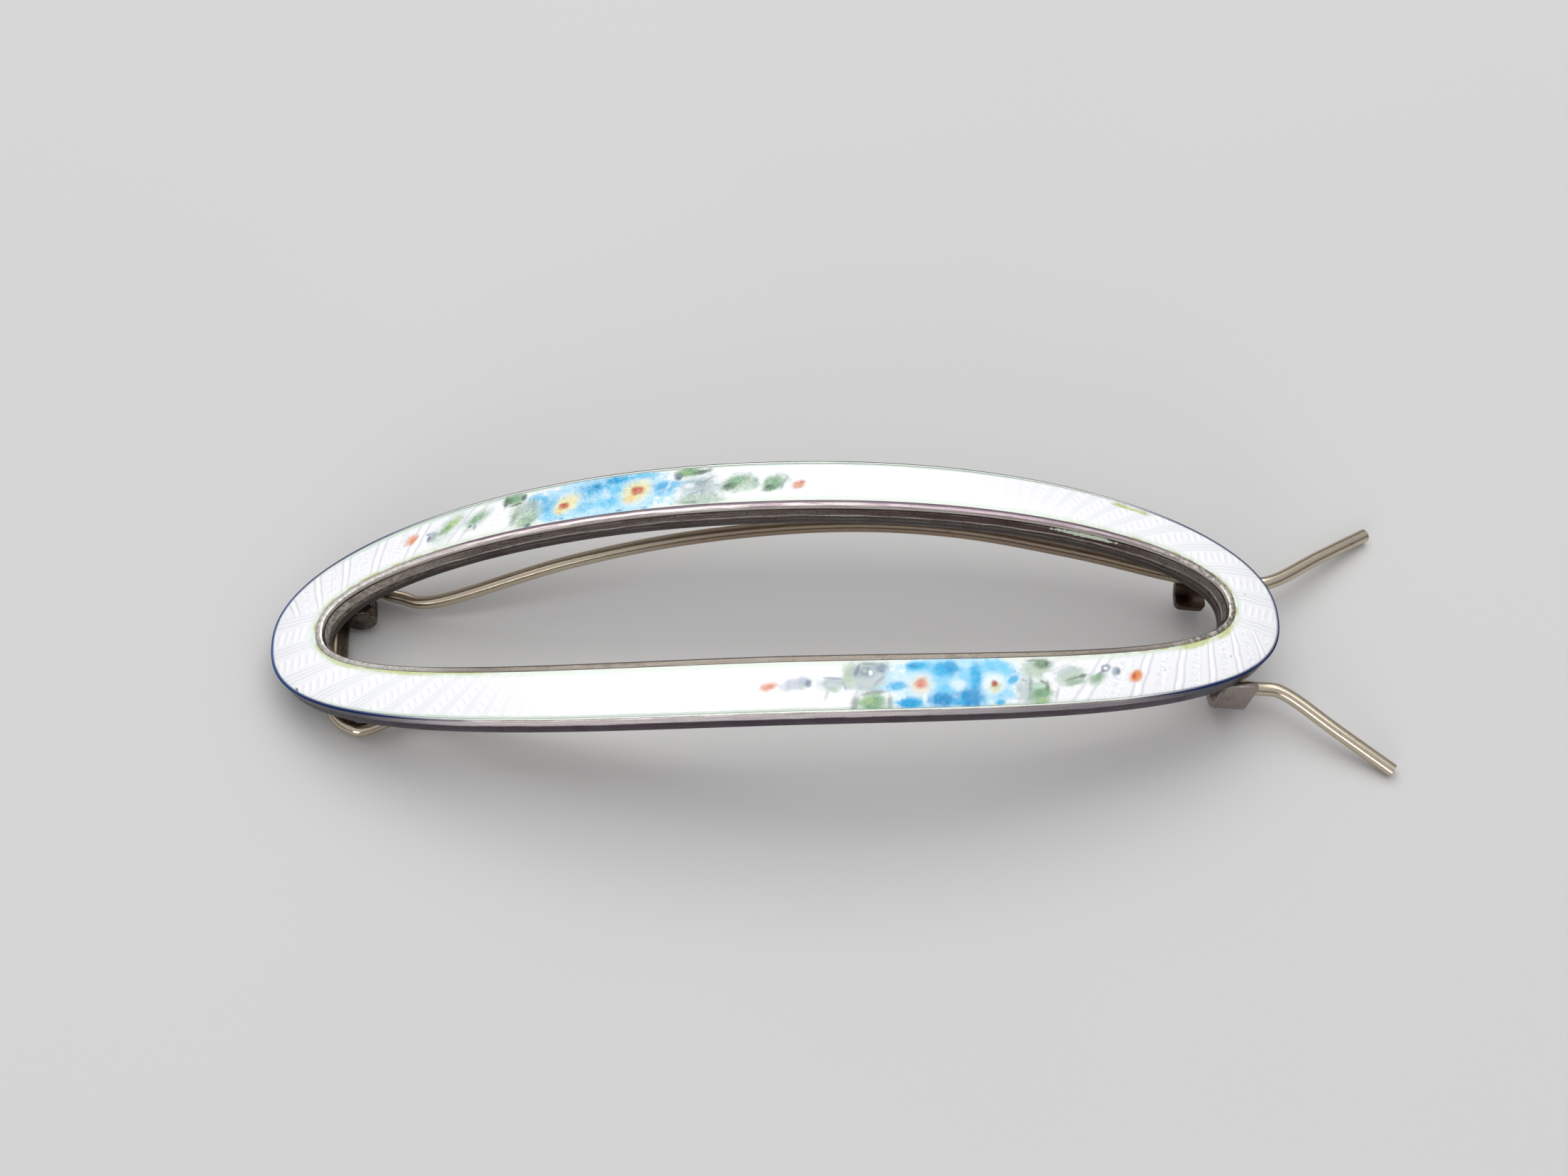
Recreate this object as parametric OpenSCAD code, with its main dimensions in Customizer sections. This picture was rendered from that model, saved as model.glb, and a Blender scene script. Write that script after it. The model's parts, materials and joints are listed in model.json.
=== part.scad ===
// Hair slide: an open oval ring of silver, arched over its length, with an enamelled
// top face and a sprung wire pin that hinges under one end and clips behind two hooks
// under the other. Millimetres, with up along +Z and the wire ends at +X.
// The slide is drawn level first, with the top of its arch at zero, and then laid down
// as it rests by itself, on the hinge barrel and the two wire ends.

/* [Ring] */
// Length of the ring from end to end
slide_len = 65.6; // [58:0.1:76]
// Width of the ring across its middle
slide_w = 18.9; // [17.5:0.1:22]
// Rise of the arch from the ends to the middle
rise = 5.8; // [4:0.1:7]
// How full the oval is, where 2 is a true ellipse
fullness = 2.33; // [2.1:0.01:2.6]
// Width of the ring's face, from its outer edge to the inner edge of the enamel
band_w = 3.45; // [3:0.05:3.8]
// Width of the bare metal lip inside the enamel
lip_w = 0.46; // [0.3:0.02:0.6]
// Height of the ring's walls below its outer edge
wall_h = 1.65; // [1.3:0.05:2]
// How much higher the inner edge stands than the outer one
crown = 0.5; // [0.3:0.05:0.6]
// Number of sections round the ring
ring_steps = 132; // [72:4:160]

/* [Enamel] */
// Thickness of the enamel
enamel_t = 0.4; // [0.3:0.05:0.5]
// Swell of the enamel between its two edges
enamel_swell = 0.09; // [0:0.01:0.12]
// Width of the thin metal edge outside the enamel
edge_w = 0.2; // [0.16:0.02:0.26]
// Gap all round between the enamel and its tray
enamel_gap = 0.03; // [0.02:0.01:0.05]

/* [Wire pin] */
// Diameter of the wire
wire_d = 0.95; // [0.8:0.05:1.05]
// Radius of the bend at each end of the crossbar, to the wire's centre
corner_r = 2.1; // [2:0.05:2.3]
// Length of the straight crossbar between the bends
crossbar_len = 6.6; // [6.4:0.1:6.8]
// How much farther out the back wire end reaches than the front one
stagger = 0.75; // [0:0.05:1]
// Sides of the wire's legs
leg_sides = 12; // [8:2:12]

/* [Hinge] */
// Place of the crossbar, as a share of the half length
hinge_along = 0.881; // [0.875:0.001:0.887]
// Depth of the crossbar below the arch
hinge_drop = 3; // [2.9:0.05:3.2]
// Outer diameter of the hinge barrel
barrel_d = 1.8; // [1.6:0.05:1.9]
// Length of the hinge barrel
barrel_len = 6; // [5:0.1:6.1]
// Clearance of the wire in the barrel, on the radius
hinge_fit = 0.06; // [0.02:0.01:0.1]
// Width of each lug beside the barrel
lug_w = 1.45; // [1.2:0.05:1.6]
// Radius of the lugs' round backs
lug_r = 1.05; // [0.9:0.05:1.1]

/* [Catch] */
// Place of the front hook, as a share of the half length
hook_front = 0.902; // [0.88:0.002:0.91]
// Place of the back hook, as a share of the half length
hook_back = 0.858; // [0.84:0.002:0.88]
// Width of each hook along the ring
hook_w = 2.1; // [1.8:0.1:2.4]
// Thickness of the hooks' strip
hook_t = 0.45; // [0.35:0.05:0.5]
// Inner radius of the hooks' curl
hook_r = 1; // [0.9:0.05:1.1]
// Length of the hooks' tongue past the curl
tongue_len = 0.7; // [0.6:0.05:1]
// Slope of the hooks along the arch, in degrees
hook_pitch = 12; // [10:1:14]

/* [Hidden] */
$fn = 64;
// Hair's breadth that keeps faces from lying on each other
FIT = 0.01;
// Room between a leg and the plate of its hook, and how far the plate runs below it
HOOK_ROOM = 0.15;
HOOK_REACH = 0.8;

half_len = slide_len / 2;
half_w = slide_w / 2;
arch_r = (half_len * half_len + rise * rise) / (2 * rise);
flat_half = arch_r * asin(half_len / arch_r) * PI / 180;
band_full = band_w + lip_w;
wire_r = wire_d / 2;

// Route of one leg, a row for each bend or swell: its place along the half length,
// its distance out as a share of the half width, and its drop in mm below the arch.
ALONG = 0;
OUT = 1;
DROP = 2;
LEG_ROUTE = [
    [-0.756, 0.487, 4.35],
    [-0.671, 0.425, 4.65],
    [-0.412, 0.574, 4.25],
    [-0.152, 0.691, 4.15],
    [0.122, 0.744, 4.05],
    [0.366, 0.709, 3.95],
    [0.610, 0.582, 3.75],
    [0.823, 0.436, 3.20],
    [0.951, 0.429, 2.75],
    [1.012, 0.462, 2.40],
    [1.113, 0.706, 2.05],
    [1.224, 0.966, 1.60]
];

// Height of the arch at a distance from the middle, zero at its top
function arch_z(x) = sqrt(arch_r * arch_r - x * x) - arch_r;

// Point of the ring at a turn round it, an inset from its outer edge and a height
// above the arch: the flat oval is bent round the arch, so its walls stand square to it
function oval_scale(turn) =
    pow(pow(abs(cos(turn)), fullness) + pow(abs(sin(turn)), fullness), -1 / fullness);
function bend(u, v, h) =
    let (a = u / arch_r * 180 / PI)
    [(arch_r + h) * sin(a), v, (arch_r + h) * cos(a) - arch_r];
function ring_point(turn, inset, h) =
    bend(oval_scale(turn) * (flat_half - inset) * cos(turn),
         oval_scale(turn) * (half_w - inset) * sin(turn), h);

// Height of the enamel's face over the arch at an inset, rising inward with a soft swell
function face_h(inset) =
    let (s = (inset - edge_w) / (band_w - edge_w))
    crown * s + 4 * enamel_swell * s * (1 - s);

// Hinge axis, level
hinge_x = -half_len * hinge_along;
hinge_z = arch_z(hinge_x) - hinge_drop;

// Smooth curve through points, from the one before and the one after each stretch
function blend(a, b, c, d, t) =
    0.5 * (2 * b + (c - a) * t + (2 * a - 5 * b + 4 * c - d) * t * t
           + (3 * b - a - 3 * c + d) * t * t * t);
function curve(pts, per) =
    let (last = len(pts) - 1)
    [for (i = [0 : last - 1], k = [0 : per - 1])
        blend(pts[max(i - 1, 0)], pts[i], pts[i + 1], pts[min(i + 2, last)], k / per),
     pts[last]];

// Route of a leg on side 1 or -1: out of the crossbar, round the bend and along the table
function leg_knot(row, side) =
    let (x = half_len * row[ALONG])
    [x + side * stagger / 2 * min(1, max(0, (row[ALONG] - 0.9) / 0.3)),
     side * half_w * row[OUT], arch_z(x) - row[DROP]];
function leg_route(side) = concat(
    [[hinge_x, side * (crossbar_len / 2 - 0.3), hinge_z]],
    curve(concat(
        [for (a = [180 : -22.5 : 90])
            [hinge_x + corner_r * (1 + cos(a)), side * (crossbar_len / 2 + corner_r * sin(a)),
             hinge_z - 0.1 * (180 - a) / 90]],
        [for (row = LEG_ROUTE) leg_knot(row, side)]), 4));

// Place of a leg's centre line at a distance along the slide
function leg_at(x, side) =
    let (route = leg_route(side),
         i = max([for (k = [0 : len(route) - 2]) if (route[k].x <= x && route[k].x > hinge_x) k]),
         t = (x - route[i].x) / (route[i + 1].x - route[i].x))
    route[i] + t * (route[i + 1] - route[i]);

// Rings of a round tube that follows a route, each square to it
function unit(v) = v / norm(v);
function heading(pts, i) = unit(pts[min(i + 1, len(pts) - 1)] - pts[max(i - 1, 0)]);
function tube_rings(pts, r, sides) = [
    for (i = [0 : len(pts) - 1])
        let (dir = heading(pts, i), across = unit(cross([0, 0, 1], dir)), up = cross(dir, across))
        for (k = [0 : sides - 1])
            pts[i] + r * (cos(360 * k / sides) * across + sin(360 * k / sides) * up)];

// Faces of a grid of points whose rows each close on themselves
function wall_faces(rows, cols, closed) = [
    for (i = [0 : rows - (closed ? 1 : 2)], k = [0 : cols - 1])
        let (i2 = (i + 1) % rows, k2 = (k + 1) % cols)
        each [[i * cols + k, i2 * cols + k, i2 * cols + k2],
              [i * cols + k, i2 * cols + k2, i * cols + k2]]];

// A tube along a route with flat ends
module tube(pts, r, sides) {
    rows = len(pts);
    ends = [[for (k = [0 : sides - 1]) k],
            [for (k = [sides - 1 : -1 : 0]) (rows - 1) * sides + k]];
    polyhedron(tube_rings(pts, r, sides), concat(wall_faces(rows, sides, false), ends));
}

// A closed ring whose section is a list of inset and height pairs, outer side first
module ring_sweep(section) {
    pts = [for (i = [0 : ring_steps - 1], p = section) ring_point(-360 * i / ring_steps, p[0], p[1])];
    polyhedron(pts, wall_faces(ring_steps, len(section), true));
}

// Lean that sets the barrel and the wire ends on one surface, and the middle of the length
function tip(side) = let (route = leg_route(side)) route[len(route) - 1];
barrel_foot = [hinge_x, hinge_z - barrel_d / 2];
tip_foot = [(tip(1).x + tip(-1).x) / 2, tip(1).z - wire_r * 0.97];
lean = atan2(barrel_foot.y - tip_foot.y, tip_foot.x - barrel_foot.x);
function lain(p) = [p.x * cos(lean) - p.z * sin(lean), p.y, p.x * sin(lean) + p.z * cos(lean)];
lain_low = min([for (side = [-1, 1], p = tube_rings(leg_route(side), wire_r - FIT, leg_sides)) lain(p).z]);
lain_right = max([for (side = [-1, 1], p = tube_rings(leg_route(side), wire_r - FIT, leg_sides)) lain(p).x]);
lain_left = min([for (h = [-0.5 : 0.1 : 0]) lain(ring_point(180, 0, h)).x]);
foot_low = min(lain_low, lain([barrel_foot.x, 0, hinge_z]).z - barrel_d / 2);

module laid_down() {
    translate([-(lain_left + lain_right) / 2, 0, -foot_low])
        rotate([0, -lean, 0])
            children();
}

// Silver ring: outer wall with a thin edge, the tray for the enamel, the inner lip with
// the fine step under it, the inner wall and the eased underside
module ring_body() {
    ring_sweep([
        [0.3, -wall_h], [0, -wall_h + 0.3], [0, -0.08], [0.06, 0],
        [edge_w, 0.01],
        [edge_w, -enamel_t], [band_w, crown - enamel_t],
        [band_w, crown + 0.01],
        [band_full - 0.1, crown], [band_full, crown - 0.1], [band_full, crown - 0.28],
        [band_full - 0.07, crown - 0.34], [band_full, crown - 0.4],
        [band_full, -wall_h + 0.3], [band_full - 0.3, -wall_h]
    ]);
}

// Barrel under the left end, its seat on the ring and the two lugs that flank it
module hinge() {
    seat_top = arch_z(hinge_x) - wall_h + 0.3;
    lug_x = hinge_x + 1.7;
    lug_z = hinge_z + 0.4;
    lug_top = arch_z(lug_x) - wall_h + 0.2;
    translate([hinge_x, 0, hinge_z]) rotate([90, 0, 0])
        cylinder(d = barrel_d, h = barrel_len, center = true);
    translate([hinge_x - 0.6, -barrel_len / 2 + 0.2, hinge_z + wire_r])
        cube([1, barrel_len - 0.4, seat_top - hinge_z - wire_r]);
    for (side = [-1, 1])
        translate([lug_x, side * (barrel_len / 2 + 0.1), lug_z]) {
            rotate([90, 0, 0])
                cylinder(r = lug_r, h = lug_w, center = true);
            translate([-0.8, side * 0.35 - 0.47, 0])
                cube([1.6, 0.94, lug_top - lug_z]);
        }
}

// Running hole for the crossbar
module hinge_bore() {
    translate([hinge_x, 0, hinge_z]) rotate([90, 0, 0])
        cylinder(r = wire_r + hinge_fit, h = barrel_len + 0.4, center = true);
}

// One hook of bent strip for the leg on side 1 or -1: a plate that hangs from the ring
// outside the wire, a quarter curl and a tongue with round corners that reaches under it
module hook(side) {
    x = half_len * (side < 0 ? hook_front : hook_back);
    wire = leg_at(x, side);
    top = arch_z(x) - wall_h + 0.25 - wire.z;
    plate_y = wire_r + HOOK_ROOM;
    curl_y = plate_y - hook_r;
    translate([x, wire.y, wire.z]) rotate([0, hook_pitch, 0]) mirror([0, side < 0 ? 1 : 0, 0]) {
        translate([-hook_w / 2, plate_y, -HOOK_REACH])
            cube([hook_w, hook_t, top + HOOK_REACH]);
        translate([0, curl_y, -HOOK_REACH])
            rotate([90, 0, 90]) rotate([0, 0, -90]) rotate_extrude(angle = 90)
                translate([hook_r, -hook_w / 2]) square([hook_t, hook_w]);
        translate([0, curl_y, -HOOK_REACH - hook_r - hook_t])
            linear_extrude(height = hook_t) tongue_shape(0.4);
    }
}

// Outline of a hook's tongue, running inward from the curl, with corners of radius r
module tongue_shape(r) {
    translate([-hook_w / 2, r - tongue_len]) square([hook_w, tongue_len - r]);
    translate([r - hook_w / 2, -tongue_len]) square([hook_w - 2 * r, r + FIT]);
    for (end = [-1, 1])
        translate([end * (hook_w / 2 - r), r - tongue_len]) circle(r = r);
}

module slide_frame() {
    color("silver")
        laid_down() {
            difference() {
                union() {
                    ring_body();
                    hinge();
                    for (side = [-1, 1])
                        hook(side);
                }
                hinge_bore();
            }
        }
}

module enamel_band() {
    low = enamel_t - enamel_gap;
    in = edge_w + enamel_gap;
    out = band_w - enamel_gap;
    color("white")
        laid_down()
            ring_sweep([
                [in, -low], [in, -0.03],
                for (s = [0.04 : 0.184 : 0.97]) [in + (out - in) * s, face_h(in + (out - in) * s)],
                [out, crown - 0.03], [out, crown - low]
            ]);
}

module wire_pin() {
    color("tan")
        laid_down() {
            translate([hinge_x, 0, hinge_z]) rotate([90, 0, 0])
                cylinder(r = wire_r, h = crossbar_len, center = true);
            for (side = [-1, 1])
                tube(leg_route(side), wire_r - FIT, leg_sides);
        }
}

slide_frame();
enamel_band();
wire_pin();
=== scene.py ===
"""Looks of an open oval hair slide: a silver ring with a painted enamel face and a sprung wire pin.

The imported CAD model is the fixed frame. The classes under Sub-assemblies build their pieces around
it in millimetres, lay them down as the slide rests by itself, and dress each in its own finish.
"""

import json
import logging
import math
from collections.abc import Callable
from dataclasses import dataclass, field
from enum import Enum
from functools import reduce

import bmesh
import bpy
import numpy as np
from mathutils import Matrix, Vector


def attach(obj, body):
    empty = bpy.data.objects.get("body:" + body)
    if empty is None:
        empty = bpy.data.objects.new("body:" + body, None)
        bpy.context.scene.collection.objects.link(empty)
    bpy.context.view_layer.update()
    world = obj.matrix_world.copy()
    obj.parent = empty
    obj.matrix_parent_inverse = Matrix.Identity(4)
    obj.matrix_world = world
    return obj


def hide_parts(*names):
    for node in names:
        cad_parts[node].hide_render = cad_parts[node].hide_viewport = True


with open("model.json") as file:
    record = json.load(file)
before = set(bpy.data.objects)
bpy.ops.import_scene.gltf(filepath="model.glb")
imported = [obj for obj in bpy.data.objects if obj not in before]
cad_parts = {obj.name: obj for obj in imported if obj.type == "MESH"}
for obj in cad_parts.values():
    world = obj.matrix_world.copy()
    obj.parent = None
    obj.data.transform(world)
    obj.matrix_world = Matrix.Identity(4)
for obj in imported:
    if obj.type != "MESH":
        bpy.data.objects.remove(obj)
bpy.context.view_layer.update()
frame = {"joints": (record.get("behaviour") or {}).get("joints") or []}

log = logging.getLogger("hair_slide")

Piece = bpy.types.Object
Out = bpy.types.NodeSocket
Feed = float | tuple[float, ...] | Out
Part = bmesh.types.BMEdge | bmesh.types.BMFace
Place = tuple[float, float, float]
Section = list[tuple[float, float]]
Colour = tuple[int, int, int]

MM = 0.001


# Workshop shared by every piece

class Bench:
    """Keeps one piece selected, and in the right mode, while it is worked on."""

    # Places this near, in mm, count as one
    near = 1e-4

    @staticmethod
    def clear() -> None:
        """Leaves edit mode and deselects everything."""
        if bpy.context.mode != "OBJECT":
            bpy.ops.object.mode_set(mode="OBJECT")
        bpy.ops.object.select_all(action="DESELECT")

    @staticmethod
    def take(piece: Piece) -> None:
        """Selects one piece alone and makes it active."""
        Bench.clear()
        piece.select_set(True)
        bpy.context.view_layer.objects.active = piece

    @staticmethod
    def named(name: str) -> Piece:
        """Names the piece that was just added, and returns it."""
        piece = bpy.context.active_object
        piece.name = name
        piece.data.name = name
        return piece

    @staticmethod
    def edit(kind: str = "VERT") -> None:
        """Enters edit mode with one select mode, everything deselected."""
        bpy.ops.object.mode_set(mode="EDIT")
        bpy.ops.mesh.select_mode(type=kind)
        bpy.ops.mesh.select_all(action="DESELECT")

    @staticmethod
    def pick(piece: Piece, kind: str, test: Callable[[Part], bool]) -> None:
        """Selects the edges or faces that pass a test, and no others.

        Args:
            piece: The piece, in edit mode.
            kind: "EDGE" or "FACE", which is also the select mode that is left on.
            test: A function of the bmesh edge or face.
        """
        bpy.ops.mesh.select_mode(type=kind)
        mesh = bmesh.from_edit_mesh(piece.data)
        chosen = [part for part in (mesh.edges if kind == "EDGE" else mesh.faces) if test(part)]
        for part in (*mesh.faces, *mesh.edges):
            part.select_set(False)
        for part in chosen:
            part.select_set(True)
        bmesh.update_edit_mesh(piece.data)

    @staticmethod
    def at_cap(edge: bmesh.types.BMEdge) -> bool:
        """Tells whether an edge borders a many-sided end face."""
        return any(len(face.verts) > 6 for face in edge.link_faces)

    @staticmethod
    def ease(piece: Piece, test: Callable[[Part], bool], width: float, segments: int,
             profile: float = 0.5) -> None:
        """Rounds the edges that pass a test.

        Args:
            piece: The piece.
            test: A function of the bmesh edge.
            width: The width of the rounding, in mm.
            segments: Its number of steps.
            profile: Its fullness, where 0.5 is round.
        """
        Bench.take(piece)
        Bench.edit("EDGE")
        Bench.pick(piece, "EDGE", test)
        bpy.ops.mesh.bevel(offset=width, segments=segments, profile=profile, affect="EDGES")
        bpy.ops.object.mode_set(mode="OBJECT")

    @staticmethod
    def apply(piece: Piece, kind: str, **settings: object) -> None:
        """Adds a modifier with its settings and applies it.

        Args:
            piece: The piece that gets the modifier.
            kind: The modifier's type.
            **settings: The modifier's own values.
        """
        Bench.take(piece)
        made = piece.modifiers.new(kind.lower(), kind)
        for name, value in settings.items():
            setattr(made, name, value)
        bpy.ops.object.modifier_apply(modifier=made.name)

    @staticmethod
    def face_out(piece: Piece) -> None:
        """Merges doubles and turns all faces outwards."""
        Bench.take(piece)
        Bench.edit()
        bpy.ops.mesh.select_all(action="SELECT")
        bpy.ops.mesh.remove_doubles(threshold=1e-5)
        bpy.ops.mesh.normals_make_consistent(inside=False)
        bpy.ops.object.mode_set(mode="OBJECT")

    @staticmethod
    def place(piece: Piece) -> None:
        """Turns and moves a piece by its object values, into its mesh."""
        Bench.take(piece)
        bpy.ops.object.transform_apply(location=True, rotation=True, scale=True)

    @staticmethod
    def join(pieces: list[Piece], name: str) -> Piece:
        """Joins pieces into one.

        Args:
            pieces: The pieces, each with its place in its mesh.
            name: The name of the joined piece.

        Returns:
            The joined piece.
        """
        Bench.clear()
        for piece in pieces:
            piece.select_set(True)
        bpy.context.view_layer.objects.active = pieces[0]
        bpy.ops.object.join()
        return Bench.named(name)

    @staticmethod
    def lay_down(piece: Piece, smooth_deg: float) -> None:
        """Lays a level piece in millimetres down as the slide rests, in metres.

        Args:
            piece: The piece, drawn level with the top of the arch at zero.
            smooth_deg: The angle above which an edge stays sharp.
        """
        piece.scale = (MM, MM, MM)
        piece.rotation_euler = (0.0, -LEAN, 0.0)
        piece.location = SHIFT * MM
        Bench.place(piece)
        bpy.ops.object.shade_smooth_by_angle(angle=math.radians(smooth_deg))


class Tree:
    """A shader node tree under construction, with short calls for the nodes in use."""

    def __init__(self, tree: bpy.types.NodeTree) -> None:
        """Keeps the tree that the calls add to."""
        self.tree = tree

    def node(self, kind: str, **settings: object) -> bpy.types.Node:
        """Adds a node and sets its own properties."""
        made = self.tree.nodes.new(kind)
        for name, value in settings.items():
            setattr(made, name, value)
        return made

    def feed(self, socket: Out, value: Feed) -> None:
        """Links a socket to another, or sets its value."""
        if isinstance(value, Out):
            self.tree.links.new(value, socket)
        else:
            socket.default_value = value

    def fill(self, made: bpy.types.Node, *values: Feed) -> Out:
        """Feeds a node's first sockets in order, and returns its first output."""
        for socket, value in zip(made.inputs, values):
            self.feed(socket, value)
        return made.outputs[0]

    def math(self, operation: str, *values: Feed, clamp: bool = False) -> Out:
        """Adds one step of arithmetic on numbers."""
        return self.fill(self.node("ShaderNodeMath", operation=operation, use_clamp=clamp), *values)

    def times(self, *values: Feed) -> Out:
        """Multiplies numbers together."""
        return reduce(lambda made, value: self.math("MULTIPLY", made, value), values)

    def plus(self, *values: Feed, clamp: bool = False) -> Out:
        """Adds numbers up, and can hold the sum between 0 and 1."""
        made = reduce(lambda low, value: self.math("ADD", low, value), values[:-1])
        return self.math("ADD", made, values[-1], clamp=clamp)

    def less(self, first: Feed, second: Feed, clamp: bool = False) -> Out:
        """Takes the second number from the first."""
        return self.math("SUBTRACT", first, second, clamp=clamp)

    def line(self, value: Feed, slope: Feed, start: Feed) -> Out:
        """Puts a number on a straight line: slope times it, and start added."""
        return self.math("MULTIPLY_ADD", value, slope, start)

    def vector(self, operation: str, *values: Feed) -> Out:
        """Adds one step of arithmetic on vectors."""
        made = self.node("ShaderNodeVectorMath", operation=operation)
        self.fill(made, *values)
        return made.outputs["Value" if operation in ("LENGTH", "DISTANCE") else "Vector"]

    def turned(self, point: Feed, angle: Feed) -> Out:
        """Turns a point about the upright axis, by radians."""
        made = self.node("ShaderNodeVectorRotate", rotation_type="Z_AXIS")
        self.feed(made.inputs["Vector"], point)
        self.feed(made.inputs["Angle"], angle)
        return made.outputs[0]

    def split(self, value: Feed) -> list[Out]:
        """Splits a vector into its three numbers."""
        made = self.node("ShaderNodeSeparateXYZ")
        self.fill(made, value)
        return list(made.outputs)

    def combine(self, x: Feed, y: Feed, z: Feed = 0.0) -> Out:
        """Makes a vector of three numbers."""
        return self.fill(self.node("ShaderNodeCombineXYZ"), x, y, z)

    def mix(self, share: Feed, first: Feed, second: Feed, blend: str = "MIX") -> Out:
        """Mixes two colours by a share."""
        made = self.node("ShaderNodeMix", data_type="RGBA", blend_type=blend)
        for index, value in ((0, share), (6, first), (7, second)):
            self.feed(made.inputs[index], value)
        return made.outputs[2]

    def rise(self, value: Feed, low: Feed, high: Feed) -> Out:
        """Eases from 0 up to 1 between two values."""
        made = self.node("ShaderNodeMapRange", interpolation_type="SMOOTHSTEP")
        return self.fill(made, value, low, high, 0.0, 1.0)

    def fall(self, value: Feed, low: Feed, high: Feed) -> Out:
        """Eases from 1 down to 0 between two values."""
        made = self.node("ShaderNodeMapRange", interpolation_type="SMOOTHSTEP")
        return self.fill(made, value, low, high, 1.0, 0.0)

    def ridge(self, value: Feed, middle: float, half: float) -> Out:
        """A soft ridge of 1 at a middle that falls to 0 at half a width from it."""
        return self.fall(self.math("ABSOLUTE", self.less(value, middle)), 0.0, half)

    def noise(self, point: Feed, scale: Feed, detail: float = 3.0, rough: float = 0.55) -> Out:
        """Adds a cloudy noise value."""
        made = self.node("ShaderNodeTexNoise")
        self.feed(made.inputs["Vector"], point)
        self.feed(made.inputs["Scale"], scale)
        made.inputs["Detail"].default_value = detail
        made.inputs["Roughness"].default_value = rough
        return made.outputs[0]

    def group(self, group: bpy.types.NodeTree, **inputs: Feed) -> list[Out]:
        """Places a node group with values for its named sockets, and returns its outputs."""
        made = self.node("ShaderNodeGroup", node_tree=group)
        for name, value in inputs.items():
            self.feed(made.inputs[name], value)
        return list(made.outputs)


class Socket(Enum):
    """The kinds of socket on the shared groups."""

    NUMBER = "NodeSocketFloat"
    COLOUR = "NodeSocketColor"
    VECTOR = "NodeSocketVector"


def linear(red: int, green: int, blue: int) -> tuple[float, float, float, float]:
    """Turns a colour picked on screen, 0 to 255, into the shader's linear one."""
    shares = [value / 255 for value in (red, green, blue)]
    made = [s / 12.92 if s <= 0.04045 else ((s + 0.055) / 1.055) ** 2.4 for s in shares]
    return made[0], made[1], made[2], 1.0


class SharedEffects:
    """The shader node groups that more than one finish uses, each built once."""

    def __init__(self) -> None:
        """Builds every group."""
        self.dab = self._dab()
        self.tarnish = self._tarnish()
        self.fine_lines = self._fine_lines()

    @staticmethod
    def _open(name: str, inputs: dict[str, Socket], outputs: dict[str, Socket]
              ) -> tuple[Tree, dict[str, Out], bpy.types.Node]:
        """Starts a group.

        Args:
            name: The group's name.
            inputs: The name and kind of each input.
            outputs: The name and kind of each output.

        Returns:
            The tree, its inputs' sockets by name, and the node that takes its outputs.
        """
        group = bpy.data.node_groups.new(name, "ShaderNodeTree")
        for side, sockets in (("INPUT", inputs), ("OUTPUT", outputs)):
            for label, kind in sockets.items():
                group.interface.new_socket(name=label, in_out=side, socket_type=kind.value)
        tree = Tree(group)
        start, end = tree.node("NodeGroupInput"), tree.node("NodeGroupOutput")
        return tree, {s.name: s for s in start.outputs if s.name}, end

    def _dab(self) -> bpy.types.NodeTree:
        """One dab of the brush: a ragged oval of uneven paint over the colour below.

        Returns:
            The group: the colour below in, the colour with the dab on it out.
        """
        tree, given, end = self._open("brush_dab", {
            "Under": Socket.COLOUR, "Point": Socket.VECTOR, "Middle": Socket.VECTOR,
            "Turn": Socket.NUMBER, "Size": Socket.VECTOR, "Soft": Socket.NUMBER,
            "Paint": Socket.COLOUR, "Cover": Socket.NUMBER, "Ragged": Socket.NUMBER,
        }, {"Colour": Socket.COLOUR})
        off = tree.turned(tree.vector("SUBTRACT", given["Point"], given["Middle"]),
                          tree.times(given["Turn"], -1.0))
        away = tree.plus(tree.vector("LENGTH", tree.vector("DIVIDE", off, given["Size"])),
                         given["Ragged"])
        mask = tree.fall(away, tree.less(1.0, given["Soft"]), tree.plus(1.0, given["Soft"]))
        share = tree.times(mask, given["Cover"])
        tree.feed(end.inputs["Colour"], tree.mix(share, given["Under"], given["Paint"]))
        return tree.tree

    def _tarnish(self) -> bpy.types.NodeTree:
        """Cloudy patches with a speckled border, for tarnish and scuffed places.

        Returns:
            The group, with the mask of the patches and of their speckles.
        """
        tree, given, end = self._open("tarnish_patches", {
            "Point": Socket.VECTOR, "Size": Socket.NUMBER, "Amount": Socket.NUMBER,
        }, {"Mask": Socket.NUMBER, "Speckle": Socket.NUMBER})
        wide = tree.noise(given["Point"], given["Size"], 4.0, 0.6)
        fine = tree.noise(given["Point"], tree.times(given["Size"], 7.0), 3.0, 0.65)
        both = tree.line(fine, 0.35, tree.times(wide, 0.65))
        low = tree.less(0.62, tree.times(given["Amount"], 0.3))
        tree.feed(end.inputs["Mask"], tree.rise(both, low, tree.plus(low, 0.12)))
        tree.feed(end.inputs["Speckle"], tree.rise(fine, 0.52, 0.66))
        return tree.tree

    def _fine_lines(self) -> bpy.types.NodeTree:
        """Fine drawn lines and light scratches: noise that is stretched along one way."""
        tree, given, end = self._open("fine_lines", {
            "Point": Socket.VECTOR, "Stretch": Socket.VECTOR, "Scale": Socket.NUMBER,
        }, {"Value": Socket.NUMBER})
        long = tree.vector("MULTIPLY", given["Point"], given["Stretch"])
        tree.feed(end.inputs["Value"], tree.noise(long, given["Scale"], 2.0, 0.5))
        return tree.tree


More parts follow.
